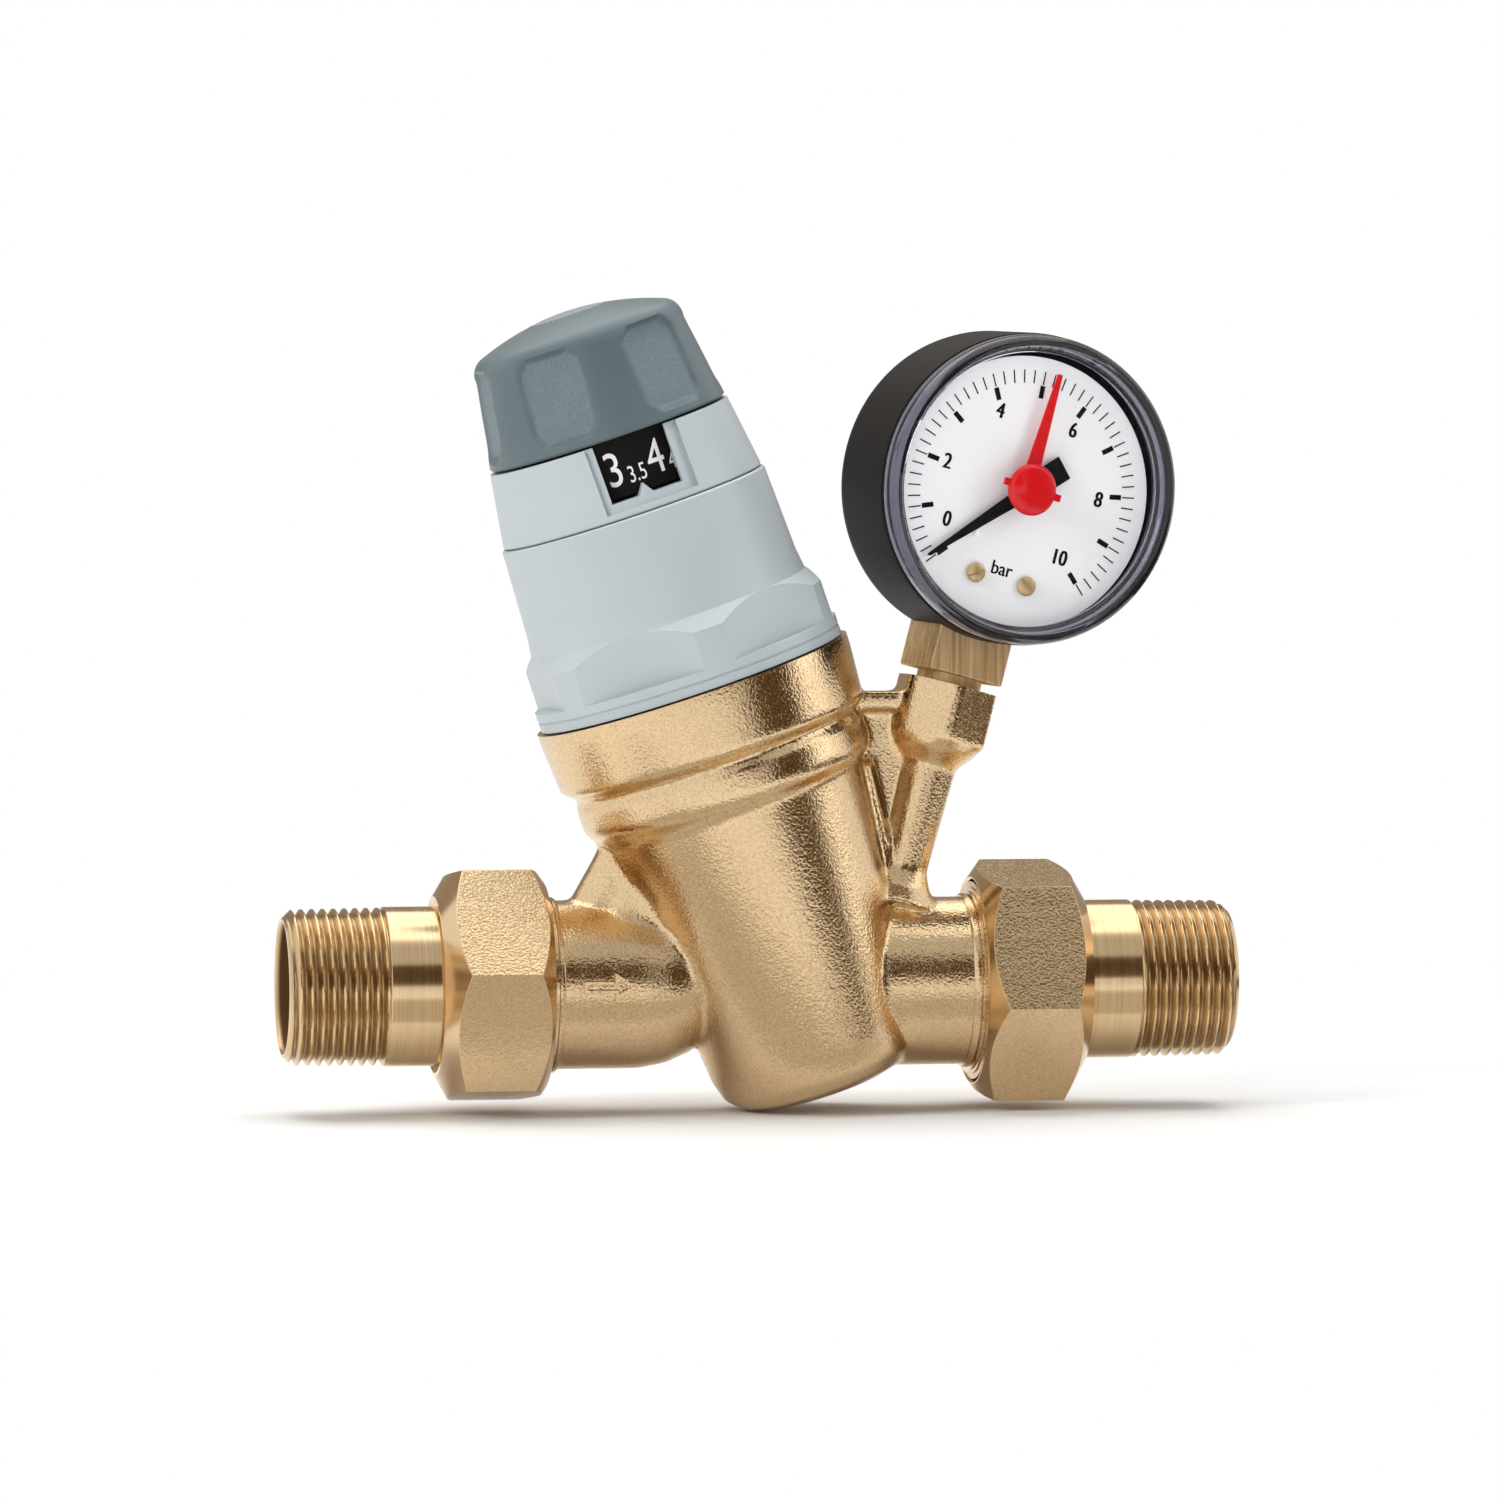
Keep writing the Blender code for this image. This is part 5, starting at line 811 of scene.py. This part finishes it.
def unionNut(side, sign):
    u = union
    face = u["nutFace"]
    foot = face - u["nutLength"]
    corner = u["nutFlats"] / 2 / math.cos(math.pi / 6)
    hole, thread, shelf = u["shank"] + 0.3 * mm, casting["thread"] + 0.3 * mm, u["flangeTop"] + 0.3 * mm
    nut = hexBar(side + "Nut", u["nutFlats"], foot, face, u["nutTurn"][side])
    cutBy(nut, spun("nutRound", [
        (hole, face - 1.1 * mm), (hole + 0.8 * mm, face), (hole + 1.4 * mm, face),
        (corner + 0.1 * mm, face - 3.8 * mm), (corner + 0.1 * mm, foot + 2.9 * mm), (thread + 0.5 * mm, foot),
        (thread + 0.3 * mm, foot), (thread, foot + 0.4 * mm), (thread, shelf), (hole, shelf),
    ], u["round"]), "INTERSECT")
    softened(nut, 0.22 * mm, 3, 22)
    skin = nut.data.attributes.new("castSkin", "FLOAT", "FACE")
    for patch in nut.data.polygons:
        flat = abs(patch.normal.z) < 0.02 and math.hypot(*patch.center[:2]) > u["nutFlats"] * 0.47
        skin.data[patch.index].value = 1.0 if flat and patch.area > 1e-5 else 0.0
    settled(nut, turnAbout("Y", sign * 90))
    smoothed(nut, 30)
    handOver(nut, looks["nutBrass"], side + "_nut", "cast_brass", side + "_union_nut")


for unionSide, unionSign in (("inlet", -1), ("outlet", 1)):
    threadedTail(unionSide, unionSign)
    unionNut(unionSide, unionSign)
print("unions")


head = {
    "foot": 53.3 * mm, "flange": 26.4 * mm, "flatsFoot": 56.6 * mm, "hexFlats": 48.1 * mm, "hexTop": 63.0 * mm,
    "hexTurn": 4.0, "waistAt": 69.0 * mm, "waist": 23.6 * mm, "topRadius": 23.0 * mm, "shoulder": 84.0 * mm,
    "deck": 86.8 * mm, "deckRadius": 18.7 * mm, "round": 192, "edge": 0.22 * mm,
    "ringFoot": 22.6 * mm, "ringTop": 20.8 * mm, "ringBore": 19.0 * mm, "ringTopAt": 96.7 * mm,
    "window": (-5.9 * mm, 6.5 * mm), "sill": 86.8 * mm, "frame": (-7.4 * mm, 8.7 * mm), "frameDrop": 1.5 * mm,
    "frameDepth": 0.9 * mm, "pointerHalf": 1.3 * mm, "pointerRise": 1.9 * mm,
}


def makeBonnet():
    h = head
    foot = h["foot"]
    bonnet = spun("bonnetMoulding", [
        (19.7 * mm, 43.9 * mm), (22.7 * mm, 43.9 * mm), (22.7 * mm, foot), (h["flange"], foot),
        (h["flange"], foot + 1.35 * mm), (h["flange"] - 0.25 * mm, foot + 1.5 * mm),
        (h["flange"] - 0.25 * mm, foot + 1.7 * mm), (h["flange"], foot + 1.85 * mm), (h["flange"], h["hexTop"]),
        (h["hexFlats"] / 2, h["hexTop"] + 2.6 * mm), (h["waist"], h["waistAt"]),
        (h["topRadius"], h["shoulder"] - 0.3 * mm), (h["topRadius"] - 0.3 * mm, h["shoulder"]),
        (h["deckRadius"], h["shoulder"]), (h["deckRadius"], h["deck"]), (5.4 * mm, h["deck"]), (5.4 * mm, 82.0 * mm),
        (20.6 * mm, 82.0 * mm), (20.6 * mm, h["flatsFoot"]), (19.7 * mm, h["flatsFoot"] - 1.0 * mm),
    ], h["round"])
    tool = spun("flatTool", [
        (4.0 * mm, h["flatsFoot"]), (36.0 * mm, h["flatsFoot"]), (36.0 * mm, h["waistAt"] - 0.3 * mm),
        (4.0 * mm, h["waistAt"] - 0.3 * mm),
    ], 24)
    cutBy(tool, hexBar("flats", h["hexFlats"], 40.0 * mm, 100.0 * mm, h["hexTurn"]))
    cutBy(bonnet, tool)
    softened(bonnet, h["edge"], 3, 22)
    settled(bonnet, barrelPlace)
    smoothed(bonnet, 30)
    handOver(bonnet, looks["greyMoulding"], "valve", "light_grey", "bonnet")


def makeScaleRing():
    h = head
    foot = h["shoulder"] + 0.15 * mm
    ring = spun("scaleRing", [
        (h["ringBore"], foot), (h["ringFoot"] - 0.3 * mm, foot), (h["ringFoot"], foot + 0.3 * mm),
        (h["ringTop"], h["ringTopAt"]), (h["ringBore"], h["ringTopAt"]),
    ], h["round"])
    low, high, sill = h["sill"] - h["frameDrop"], h["ringTopAt"] + 2.0 * mm, h["sill"]
    slope = (h["ringTop"] - h["ringFoot"]) / (h["ringTopAt"] - foot)
    recess = spun("recess", [
        (h["ringFoot"] + slope * (low - foot) - h["frameDepth"], low), (40.0 * mm, low), (40.0 * mm, high),
        (h["ringFoot"] + slope * (high - foot) - h["frameDepth"], high),
    ], h["round"])
    cutBy(recess, box("frameTool", (h["frame"][0], -50.0 * mm, low - 1.0 * mm), (h["frame"][1], 0, high + 1.0 * mm)),
          "INTERSECT")
    cutBy(ring, recess)
    left, right = h["window"]
    cutBy(ring, cutOut("windowTool", [
        (left, sill), (-h["pointerHalf"], sill), (0, sill + h["pointerRise"]), (h["pointerHalf"], sill), (right, sill),
        (right, h["ringTopAt"] + 3.0 * mm), (left, h["ringTopAt"] + 3.0 * mm),
    ], -h["ringFoot"] - 6.0 * mm, -h["ringBore"] * 0.6))
    softened(ring, 0.16 * mm, 2, 25)
    settled(ring, barrelPlace)
    smoothed(ring, 30)
    handOver(ring, looks["greyMoulding"], "valve", "light_grey", "indicator_ring")


drum = {
    "radius": 18.6 * mm, "bore": 16.4 * mm, "foot": 87.2 * mm, "top": 96.9 * mm, "degreesPerBar": 22.5, "rest": 3.5,
    "bigSize": 8.2 * mm, "smallSize": 4.0 * mm, "bigHeight": 92.1 * mm, "smallHeight": 90.5 * mm, "ink": 0.06 * mm,
}


def wrapped(piece, radius, angle, height):
    # bends flat print round a drum that stands on Z; angle 0 looks to -Y
    for vertex in piece.data.vertices:
        turn = math.radians(angle) + vertex.co.x / radius
        out = radius - vertex.co.y
        vertex.co = (out * math.sin(turn), -out * math.cos(turn), vertex.co.z + height)
    return piece


def makeDrum():
    d = drum
    barrel = spun("scaleDrum", [
        (d["bore"], d["foot"]), (d["radius"] - 0.2 * mm, d["foot"]), (d["radius"], d["foot"] + 0.2 * mm),
        (d["radius"], d["top"]), (d["bore"], d["top"]),
    ], 128)
    settled(barrel, barrelPlace)
    smoothed(barrel)
    handOver(barrel, looks["drumBlack"], "knob", "black", "scale_drum")
    marks = []
    for step in range(11):
        value = 1 + step / 2
        whole = step % 2 == 0
        words = str(int(value)) if whole else str(value)
        size, height = (d["bigSize"], d["bigHeight"]) if whole else (d["smallSize"], d["smallHeight"])
        mark = lettering("scaleMark", words, size, d["ink"], 0.78 if whole else 0.67)
        applied(mark, "SUBSURF", subdivision_type="SIMPLE", levels=2)
        marks.append(wrapped(mark, d["radius"], (value - d["rest"]) * d["degreesPerBar"], height))
    numbers = joined(*marks)
    numbers.name = "scaleNumbers"
    settled(numbers, barrelPlace)
    handOver(numbers, looks["whiteInk"], "knob", "white")


knob = {
    "foot": 97.1 * mm, "footRadius": 20.6 * mm, "crownRadius": 18.4 * mm, "edge": 115.2 * mm, "top": 118.5 * mm,
    "round": 3.5 * mm, "panelHalf": 5.8 * mm, "panelDepth": 0.6 * mm, "panelLow": 2.0 * mm, "panelHigh": 16.2 * mm,
    "lip": 0.75 * mm, "panelTurn": 32.5, "cap": 6.5 * mm, "segments": 288,
}


def stepUp(value, low, high):
    share = min(max((value - low) / (high - low), 0.0), 1.0)
    return share * share * (3 - 2 * share)


def makeKnob():
    k = knob
    foot, edge, rows = k["foot"], k["edge"], 44
    crown = k["crownRadius"] - k["round"] * 0.5

    def dome(radius):
        return k["top"] - (k["top"] - edge) * (radius / crown) ** 2

    def flank(height):
        share = (height - foot) / (edge - k["round"] - foot)
        return k["footRadius"] + (k["crownRadius"] - k["footRadius"]) * share

    wallTop = edge - k["round"]
    wall = [foot + 0.4 * mm + (wallTop - foot - 0.4 * mm) * row / rows for row in range(rows + 1)]
    shoulder = []
    for row in range(1, 9):
        turn = math.radians(70) * row / 8
        shoulder.append((k["crownRadius"] - k["round"] * (1 - math.cos(turn)) * 0.86,
                         wallTop + k["round"] * math.sin(turn) * 0.98))
    rim = shoulder[-1][0]
    lift = dome(rim) - shoulder[-1][1]
    shoulder = [(radius, height + lift * (row + 1) / 8) for row, (radius, height) in enumerate(shoulder)]
    cap = k["cap"] + 0.25 * mm
    dished = [(rim + (cap - rim) * row / 10, dome(rim + (cap - rim) * row / 10)) for row in range(1, 11)]
    piece = spun("knobMoulding", [
        (0, 111.0 * mm), (cap, 111.0 * mm), *reversed(dished), *reversed(shoulder),
        *[(flank(height), height) for height in reversed(wall)], (k["footRadius"] - 0.4 * mm, foot),
        (16.1 * mm, foot), (16.1 * mm, 90.0 * mm), (0, 90.0 * mm),
    ], k["segments"])
    mask = piece.data.attributes.new("grip", "FLOAT", "POINT")
    for vertex in piece.data.vertices:
        across, height = math.hypot(vertex.co.x, vertex.co.y), vertex.co.z
        if height < foot + 0.2 * mm or height > edge or across < k["crownRadius"] - 1.5 * mm:
            continue
        angle = math.atan2(vertex.co.x, -vertex.co.y)
        offset = (angle - math.radians(k["panelTurn"]) + math.tau) % (math.tau / 6)
        offset = offset - math.tau / 6 if offset > math.tau / 12 else offset
        sideways = abs(across * math.sin(offset))
        inside = 1 - stepUp(sideways, k["panelHalf"] - k["lip"], k["panelHalf"] + k["lip"] * 0.6)
        low, high = foot + k["panelLow"], foot + k["panelHigh"]
        corner = 1.6 * mm * stepUp(sideways, k["panelHalf"] - 2.2 * mm, k["panelHalf"])
        inside *= stepUp(height, low + corner - k["lip"], low + corner + k["lip"] * 0.6)
        inside *= 1 - stepUp(height, high - corner - k["lip"], high - corner + k["lip"])
        chord = flank(height) * math.cos(math.asin(k["panelHalf"] / flank(height)))
        flat = (chord - k["panelDepth"]) / math.cos(offset)
        wanted = across + (min(flat, across) - across) * inside
        vertex.co.x *= wanted / across
        vertex.co.y *= wanted / across
        mask.data[vertex.index].value = stepUp(inside, 0.6, 1.0)
    settled(piece, barrelPlace)
    smoothed(piece, 38)
    handOver(piece, looks["slateKnob"], "knob", "slate", "adjusting_knob")

    disc = spun("knobDisc", [
        (0, 111.2 * mm), (k["cap"], 111.2 * mm), (k["cap"], dome(k["cap"]) - 0.25 * mm),
        (k["cap"] - 0.25 * mm, dome(k["cap"]) + 0.05 * mm), *[
            (k["cap"] * share, dome(k["cap"] * share) + 0.05 * mm) for share in (0.75, 0.5, 0.25, 0.1)],
        (0, k["top"] + 0.0 * mm),
    ], 96)
    settled(disc, barrelPlace)
    smoothed(disc, 40)
    handOver(disc, looks["paleMoulding"], "knob", "pale_slate", "knob_cap")


makeBonnet()
makeScaleRing()
makeDrum()
makeKnob()
print("bonnet, scale and knob")


gauge = {
    "case": 26.1 * mm, "wall": 1.6 * mm, "front": 12.1 * mm, "back": -8.2 * mm, "square": 13.5 * mm,
    "lift": 33.6 * mm, "neck": 5.5 * mm, "neckLength": 1.6 * mm, "thread": 6.2 * mm, "threadLength": 8.5 * mm,
    "squareTop": -13.0 * mm, "windowFront": 16.6 * mm, "window": 25.8 * mm, "pane": 14.1 * mm, "paneThickness": 1.1 * mm,
    "paneRadius": 23.2 * mm, "dialFace": 10.8 * mm, "dial": 22.9 * mm,
}


def makeSocket():
    g = gauge
    drop, half = -g["lift"], g["square"] / 2
    pitch, rows = 1.337 * mm, 64
    foot = drop - g["threadLength"]
    reach = g["threadLength"] - 0.3 * mm
    heights = [foot + 0.4 * mm + (reach - 0.4 * mm) * row / rows for row in range(rows + 1)]
    stem = spun("gaugeSocket", [
        (0, foot), (g["thread"] - 0.9 * mm, foot), *[(g["thread"], height) for height in heights],
        (g["neck"], drop - 0.1 * mm), (g["neck"], drop + g["neckLength"] + 1.0 * mm),
        (0, drop + g["neckLength"] + 1.0 * mm),
    ], 64)
    for vertex in stem.data.vertices:
        across = math.hypot(vertex.co.x, vertex.co.y)
        if across < g["thread"] - 1e-6:
            continue
        phase = (vertex.co.z / pitch - math.atan2(vertex.co.y, vertex.co.x) / math.tau) % 1.0
        wanted = g["thread"] - 0.7 * mm * min(max((abs(2 * phase - 1) - 0.12) / 0.76, 0.0), 1.0)
        vertex.co.x *= wanted / across
        vertex.co.y *= wanted / across
    block = box("socketSquare", (-half, -half, drop + g["neckLength"]), (half, 6.4 * mm, g["squareTop"]))
    softened(block, 0.35 * mm, 3)
    cutBy(stem, block, "UNION")
    settled(stem, dialPlace)
    smoothed(stem, 35)
    handOver(stem, looks["barBrass"], "valve", "turned_brass", "gauge_socket")


def makeCase():
    g = gauge
    inner, case, front, back = g["case"] - g["wall"], g["case"], g["front"], g["back"]
    shell = spun("gaugeShell", [
        (0, back), (case - 4.2 * mm, back), (case - 2.0 * mm, back + 0.35 * mm), (case - 0.8 * mm, back + 1.2 * mm),
        (case - 0.2 * mm, back + 2.5 * mm), (case, back + 4.0 * mm), (case, front - 0.35 * mm),
        (case - 0.12 * mm, front - 0.1 * mm), (case - 0.35 * mm, front), (inner, front), (inner, back + 3.0 * mm),
        (inner - 1.6 * mm, back + 1.4 * mm), (0, back + 1.4 * mm),
    ], 192)
    settled(shell, Matrix.Translation((0, 0, layout["caseRise"])) @ facing)
    gap = g["square"] / 2 + 0.3 * mm
    cutBy(shell, box("stemSlot", (-gap, -gap, -36.0 * mm), (gap, 6.7 * mm, -18.3 * mm)))
    settled(shell, dialPlace)
    smoothed(shell, 32)
    handOver(shell, looks["blackMoulding"], "valve", "black", "gauge_case")


def makeWindow():
    g = gauge
    front, radius, pane = g["windowFront"], g["window"], g["pane"]
    skirt = g["case"] - g["wall"] - 0.3 * mm
    back = pane - g["paneThickness"]
    rim = spun("windowRim", [
        (g["paneRadius"] - 0.3 * mm, back), (skirt - 0.8 * mm, back - 0.4 * mm), (skirt - 0.8 * mm, 11.2 * mm),
        (skirt, 11.2 * mm), (skirt, g["front"] + 0.3 * mm), (radius, g["front"] + 0.3 * mm),
        (radius + 0.12 * mm, g["front"] + 1.0 * mm), (radius, front - 1.3 * mm), (radius - 0.35 * mm, front - 0.45 * mm),
        (radius - 0.9 * mm, front), (radius - 1.5 * mm, front - 0.15 * mm), (radius - 1.9 * mm, front - 0.6 * mm),
        (g["paneRadius"] + 0.25 * mm, pane + 0.3 * mm), (g["paneRadius"] - 0.3 * mm, pane),
    ], 192)
    settled(rim, casePlace @ facing)
    smoothed(rim, 50)
    handOver(rim, looks["clearRim"], "valve", "clear", "gauge_window").visible_shadow = False
    hole, edge = 1.5 * mm, g["paneRadius"] - 0.32 * mm
    glass = spun("windowPane", [
        (hole, back), (edge, back), (edge, pane), (edge * 0.5, pane + 0.05 * mm), (hole, pane + 0.08 * mm),
    ], 128)
    settled(glass, casePlace @ facing)
    smoothed(glass)
    handOver(glass, looks["clearPane"], "valve", "clear", "gauge_window").visible_shadow = False


scale = {
    "majorInner": 16.1 * mm, "majorOuter": 18.2 * mm, "majorHalf": 0.42 * mm, "minorInner": 18.4 * mm,
    "minorOuter": 20.6 * mm, "minorHalf": 0.11 * mm, "ink": 0.04 * mm, "numberSize": 3.7 * mm, "unitSize": 3.3 * mm,
    "numbers": {0: (-12.0, -7.4), 2: (-14.4, 1.9), 4: (-7.3, 12.4), 6: (6.4, 12.5), 8: (13.9, 2.4), 10: (9.7, -8.7)},
    "unitPlace": (-0.1 * mm, -13.1 * mm), "printTurn": -2.8, "heavy": 0.11 * mm,
}


def atReading(bar):
    return turnAbout("Y", layout["zeroAngle"] + layout["degreesPerBar"] * bar)


def makeDial():
    g, s = gauge, scale
    face = spun("dialFace", [
        (2.0 * mm, g["dialFace"] - 0.5 * mm), (g["dial"], g["dialFace"] - 0.5 * mm),
        (g["dial"], g["dialFace"] - 0.06 * mm), (g["dial"] - 0.06 * mm, g["dialFace"]), (2.0 * mm, g["dialFace"]),
    ], 128)
    settled(face, dialPlace @ facing)
    smoothed(face)
    handOver(face, looks["dialWhite"], "valve", "white", "gauge_dial")

    sheet = -g["dialFace"]
    minor = box("minorTick", (-s["minorHalf"], sheet - s["ink"], s["minorInner"]),
                (s["minorHalf"], sheet + s["ink"], s["minorOuter"]))
    major = box("majorTick", (-s["majorHalf"], sheet - s["ink"], s["majorInner"]),
                (s["majorHalf"], sheet + s["ink"], s["majorOuter"]))
    turned = turnAbout("Y", s["printTurn"])
    ticks = [copied(minor, turned @ atReading(step / 5)) for step in range(51)]
    ticks += [copied(major, turned @ atReading(bar)) for bar in range(11)]
    bpy.data.objects.remove(minor)
    bpy.data.objects.remove(major)
    for value, (x, z) in s["numbers"].items():
        # printed twice, a little apart, for a heavier figure
        for shift in (-s["heavy"], s["heavy"]):
            ticks.append(settled(lettering("dialNumber", str(value), s["numberSize"], 2 * s["ink"], 0.80),
                                 Matrix.Translation((x * mm + shift, sheet, z * mm))))
    for shift in (-s["heavy"] / 2, s["heavy"] / 2):
        ticks.append(settled(lettering("dialUnit", "bar", s["unitSize"], 2 * s["ink"], 0.9),
                             Matrix.Translation((s["unitPlace"][0] + shift, sheet, s["unitPlace"][1]))))
    markings = joined(*ticks)
    markings.name = "dialMarkings"
    settled(markings, dialPlace)
    handOver(markings, looks["dialBlack"], "valve", "black")


def makeHands():
    g = gauge
    back, thick = -g["dialFace"] - 0.9 * mm, 0.4 * mm
    blade = cutOut("blackHand", [
        (-1.25 * mm, 1.0 * mm), (-0.28 * mm, 19.7 * mm), (0, 20.2 * mm), (0.28 * mm, 19.7 * mm), (1.25 * mm, 1.0 * mm),
        (0.85 * mm, -4.2 * mm), (2.1 * mm, -5.4 * mm), (2.1 * mm, -8.4 * mm), (-2.1 * mm, -8.4 * mm),
        (-2.1 * mm, -5.4 * mm), (-0.85 * mm, -4.2 * mm),
    ], back - thick, back)
    cutBy(blade, settled(spun("hub", [
        (0, -back - 0.3 * mm), (2.6 * mm, -back - 0.3 * mm), (2.6 * mm, -back + thick), (0, -back + thick),
    ], 48), facing), "UNION")
    softened(blade, 0.08 * mm, 2)
    settled(blade, dialPlace @ atReading(0))
    smoothed(blade)
    handOver(blade, looks["dialBlack"], "pointer", "black", "gauge_pointer")

    front = -g["pane"] + g["paneThickness"] + 0.3 * mm
    red = cutOut("redHand", [
        (-1.45 * mm, 1.2 * mm), (-0.45 * mm, 20.0 * mm), (0.45 * mm, 20.0 * mm), (1.45 * mm, 1.2 * mm),
        (1.45 * mm, -1.5 * mm), (-1.45 * mm, -1.5 * mm),
    ], front, front + thick)
    cutBy(red, settled(spun("redDisc", [
        (0, -front - thick), (3.0 * mm, -front - thick), (3.0 * mm, -front), (0, -front),
    ], 48), facing), "UNION")
    softened(red, 0.08 * mm, 2)
    settled(red, handPlace)
    smoothed(red)
    handOver(red, looks["redMoulding"], "set_hand", "red", "set_hand")

    seat = g["pane"] + 0.4 * mm
    grip = spun("redGrip", [
        (0, 12.3 * mm), (1.1 * mm, 12.3 * mm), (1.1 * mm, seat), (4.3 * mm, seat), (4.35 * mm, seat + 0.3 * mm),
        (4.25 * mm, seat + 0.45 * mm), (3.75 * mm, seat + 0.9 * mm), (3.55 * mm, seat + 1.0 * mm), (0, seat + 1.0 * mm),
    ], 96)
    settled(grip, facing)
    for side in (-1, 1):
        ear = box("ear", (side * 4.4 * mm - 0.9 * mm, -seat - 0.55 * mm, -0.6 * mm),
                  (side * 4.4 * mm + 0.9 * mm, -seat, 0.6 * mm))
        cutBy(grip, ear, "UNION")
    settled(grip, handPlace)
    smoothed(grip, 35)
    handOver(grip, looks["redMoulding"], "set_hand", "red", "set_hand_grip")


dialScrews = {"x": 4.75 * mm, "z": -14.85 * mm, "head": 1.65 * mm, "shank": 0.8 * mm}


def makeDialScrews():
    d = dialScrews
    under = gauge["dialFace"] + 0.3 * mm
    for name, side in (("left", -1), ("right", 1)):
        screw = spun("dialScrew." + name, [
            (0, 2.75 * mm), (d["shank"], 2.75 * mm), (d["shank"], under), (d["head"], under),
            (d["head"], under + 0.25 * mm), (d["head"] * 0.86, under + 0.48 * mm), (d["head"] * 0.55, under + 0.64 * mm),
            (d["head"] * 0.25, under + 0.7 * mm), (0, under + 0.72 * mm),
        ], 40)
        settled(screw, facing)
        cutBy(screw, box("screwSlot", (-2.0 * mm, -under - 2.0 * mm, -0.2 * mm), (2.0 * mm, -under - 0.4 * mm, 0.2 * mm)))
        settled(screw, dialPlace @ Matrix.Translation((side * d["x"], 0, d["z"])) @ turnAbout("Y", 35 * side))
        smoothed(screw, 40)
        handOver(screw, looks["screwBrass"], "valve", "turned_brass", "dial_screw_" + name)


makeSocket()
makeCase()
makeWindow()
makeDial()
makeHands()
makeDialScrews()
print("gauge")


# the spring is built as two halves, a lower and an upper
setSpring = {"coil": 11.0 * mm, "wire": 1.6 * mm, "turns": 2.5, "sides": 12, "steps": 120}
# the middle of the diaphragm lifts with the stem, and its skirt slides in the rim
membrane = {
    "hole": 3.3 * mm, "skirtIn": 15.1 * mm, "skirt": 16.0 * mm, "skirtDrop": 2.0 * mm,
    "lip": 16.3 * mm, "lipDip": 0.6 * mm, "roll": 17.1 * mm, "rollDip": 1.0 * mm,
    "flat": 18.8 * mm, "edge": 22.7 * mm, "thick": 1.5 * mm,
}


def barrelSpan(node):
    upright = barrelPlace.inverted()
    heights = [(upright @ corner.co).z for corner in nodes[node].data.vertices]
    return min(heights), max(heights)


def springHalf(name, foot, rise, turn):
    bpy.ops.object.select_all(action="DESELECT")
    bpy.ops.mesh.primitive_circle_add(
        vertices=setSpring["sides"], radius=setSpring["wire"],
        location=(setSpring["coil"], 0, foot), rotation=(math.pi / 2, 0, 0),
    )
    piece = bpy.context.object
    piece.name = name
    bpy.ops.object.transform_apply(location=True, rotation=True, scale=True)
    applied(
        piece, "SCREW", axis="Z", angle=setSpring["turns"] * math.tau, screw_offset=rise,
        steps=setSpring["steps"], render_steps=setSpring["steps"],
    )
    bpy.ops.object.mode_set(mode="EDIT")
    bpy.ops.mesh.select_all(action="SELECT")
    bpy.ops.mesh.fill_holes(sides=0)
    closeUp()
    return smoothed(settled(piece, barrelPlace @ turnAbout("Z", turn)))


def makeSpring():
    low, high = barrelSpan("setting_spring")
    foot, top = low + setSpring["wire"], high - setSpring["wire"]
    middle = (foot + top) / 2
    lower = springHalf("springLower", foot, middle - foot, 0)
    upper = springHalf("springUpper", middle, top - middle, 360 * setSpring["turns"])
    for half in (lower, upper):
        half.data.materials.append(looks["steel"])
    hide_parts("setting_spring")
    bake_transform(lower)
    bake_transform(upper)


def makeDiaphragm():
    top = barrelSpan("diaphragm")[1]
    foot = top - membrane["thick"]
    centre = spun("diaphragmCentre", [
        (membrane["hole"], foot), (membrane["skirtIn"], foot),
        (membrane["skirtIn"], foot - membrane["skirtDrop"]), (membrane["skirt"], foot - membrane["skirtDrop"]),
        (membrane["skirt"], top), (membrane["hole"], top),
    ])
    rim = spun("diaphragmRim", [
        (membrane["lip"], foot - membrane["lipDip"]), (membrane["roll"], foot - membrane["rollDip"]),
        (membrane["flat"], foot), (membrane["edge"], foot), (membrane["edge"], top), (membrane["flat"], top),
        (membrane["roll"], top - membrane["rollDip"]), (membrane["lip"], top - membrane["lipDip"]),
    ])
    for piece in (centre, rim):
        smoothed(settled(piece, barrelPlace))
    handOver(centre, looks["rubber"], "stem", "rubber")
    handOver(rim, looks["rubber"], "valve", "rubber", "diaphragm")


makeSpring()
makeDiaphragm()
print("spring and diaphragm")


# these nodes keep their solids and only get a finish
keptNodes = {
    "steel": ["seat_ring", "strainer_sleeve", "valve_stem", "spring_cup", "stem_nut", "clamp_ring",
              "pointer_arbor", "tube_link", "knob_screw"],
    "dialWhite": ["zero_pin"],
    "innerBrass": ["shutter", "lower_plate", "adjusting_screw", "spring_follower", "movement_plate", "sector_gear",
                   "bourdon_tube"],
    "nylon": ["cartridge_cage", "thrust_washer"],
    "rubber": ["lower_o_ring", "upper_o_ring", "shutter_seal"],
    "fibre": ["inlet_gasket", "outlet_gasket"],
}
for lookName, members in keptNodes.items():
    for member in members:
        mesh = nodes[member].data
        mesh.materials.clear()
        mesh.materials.append(looks[lookName])
print("inner nodes dressed,", sum(len(members) for members in keptNodes.values()))

bpy.context.view_layer.update()
print("done")
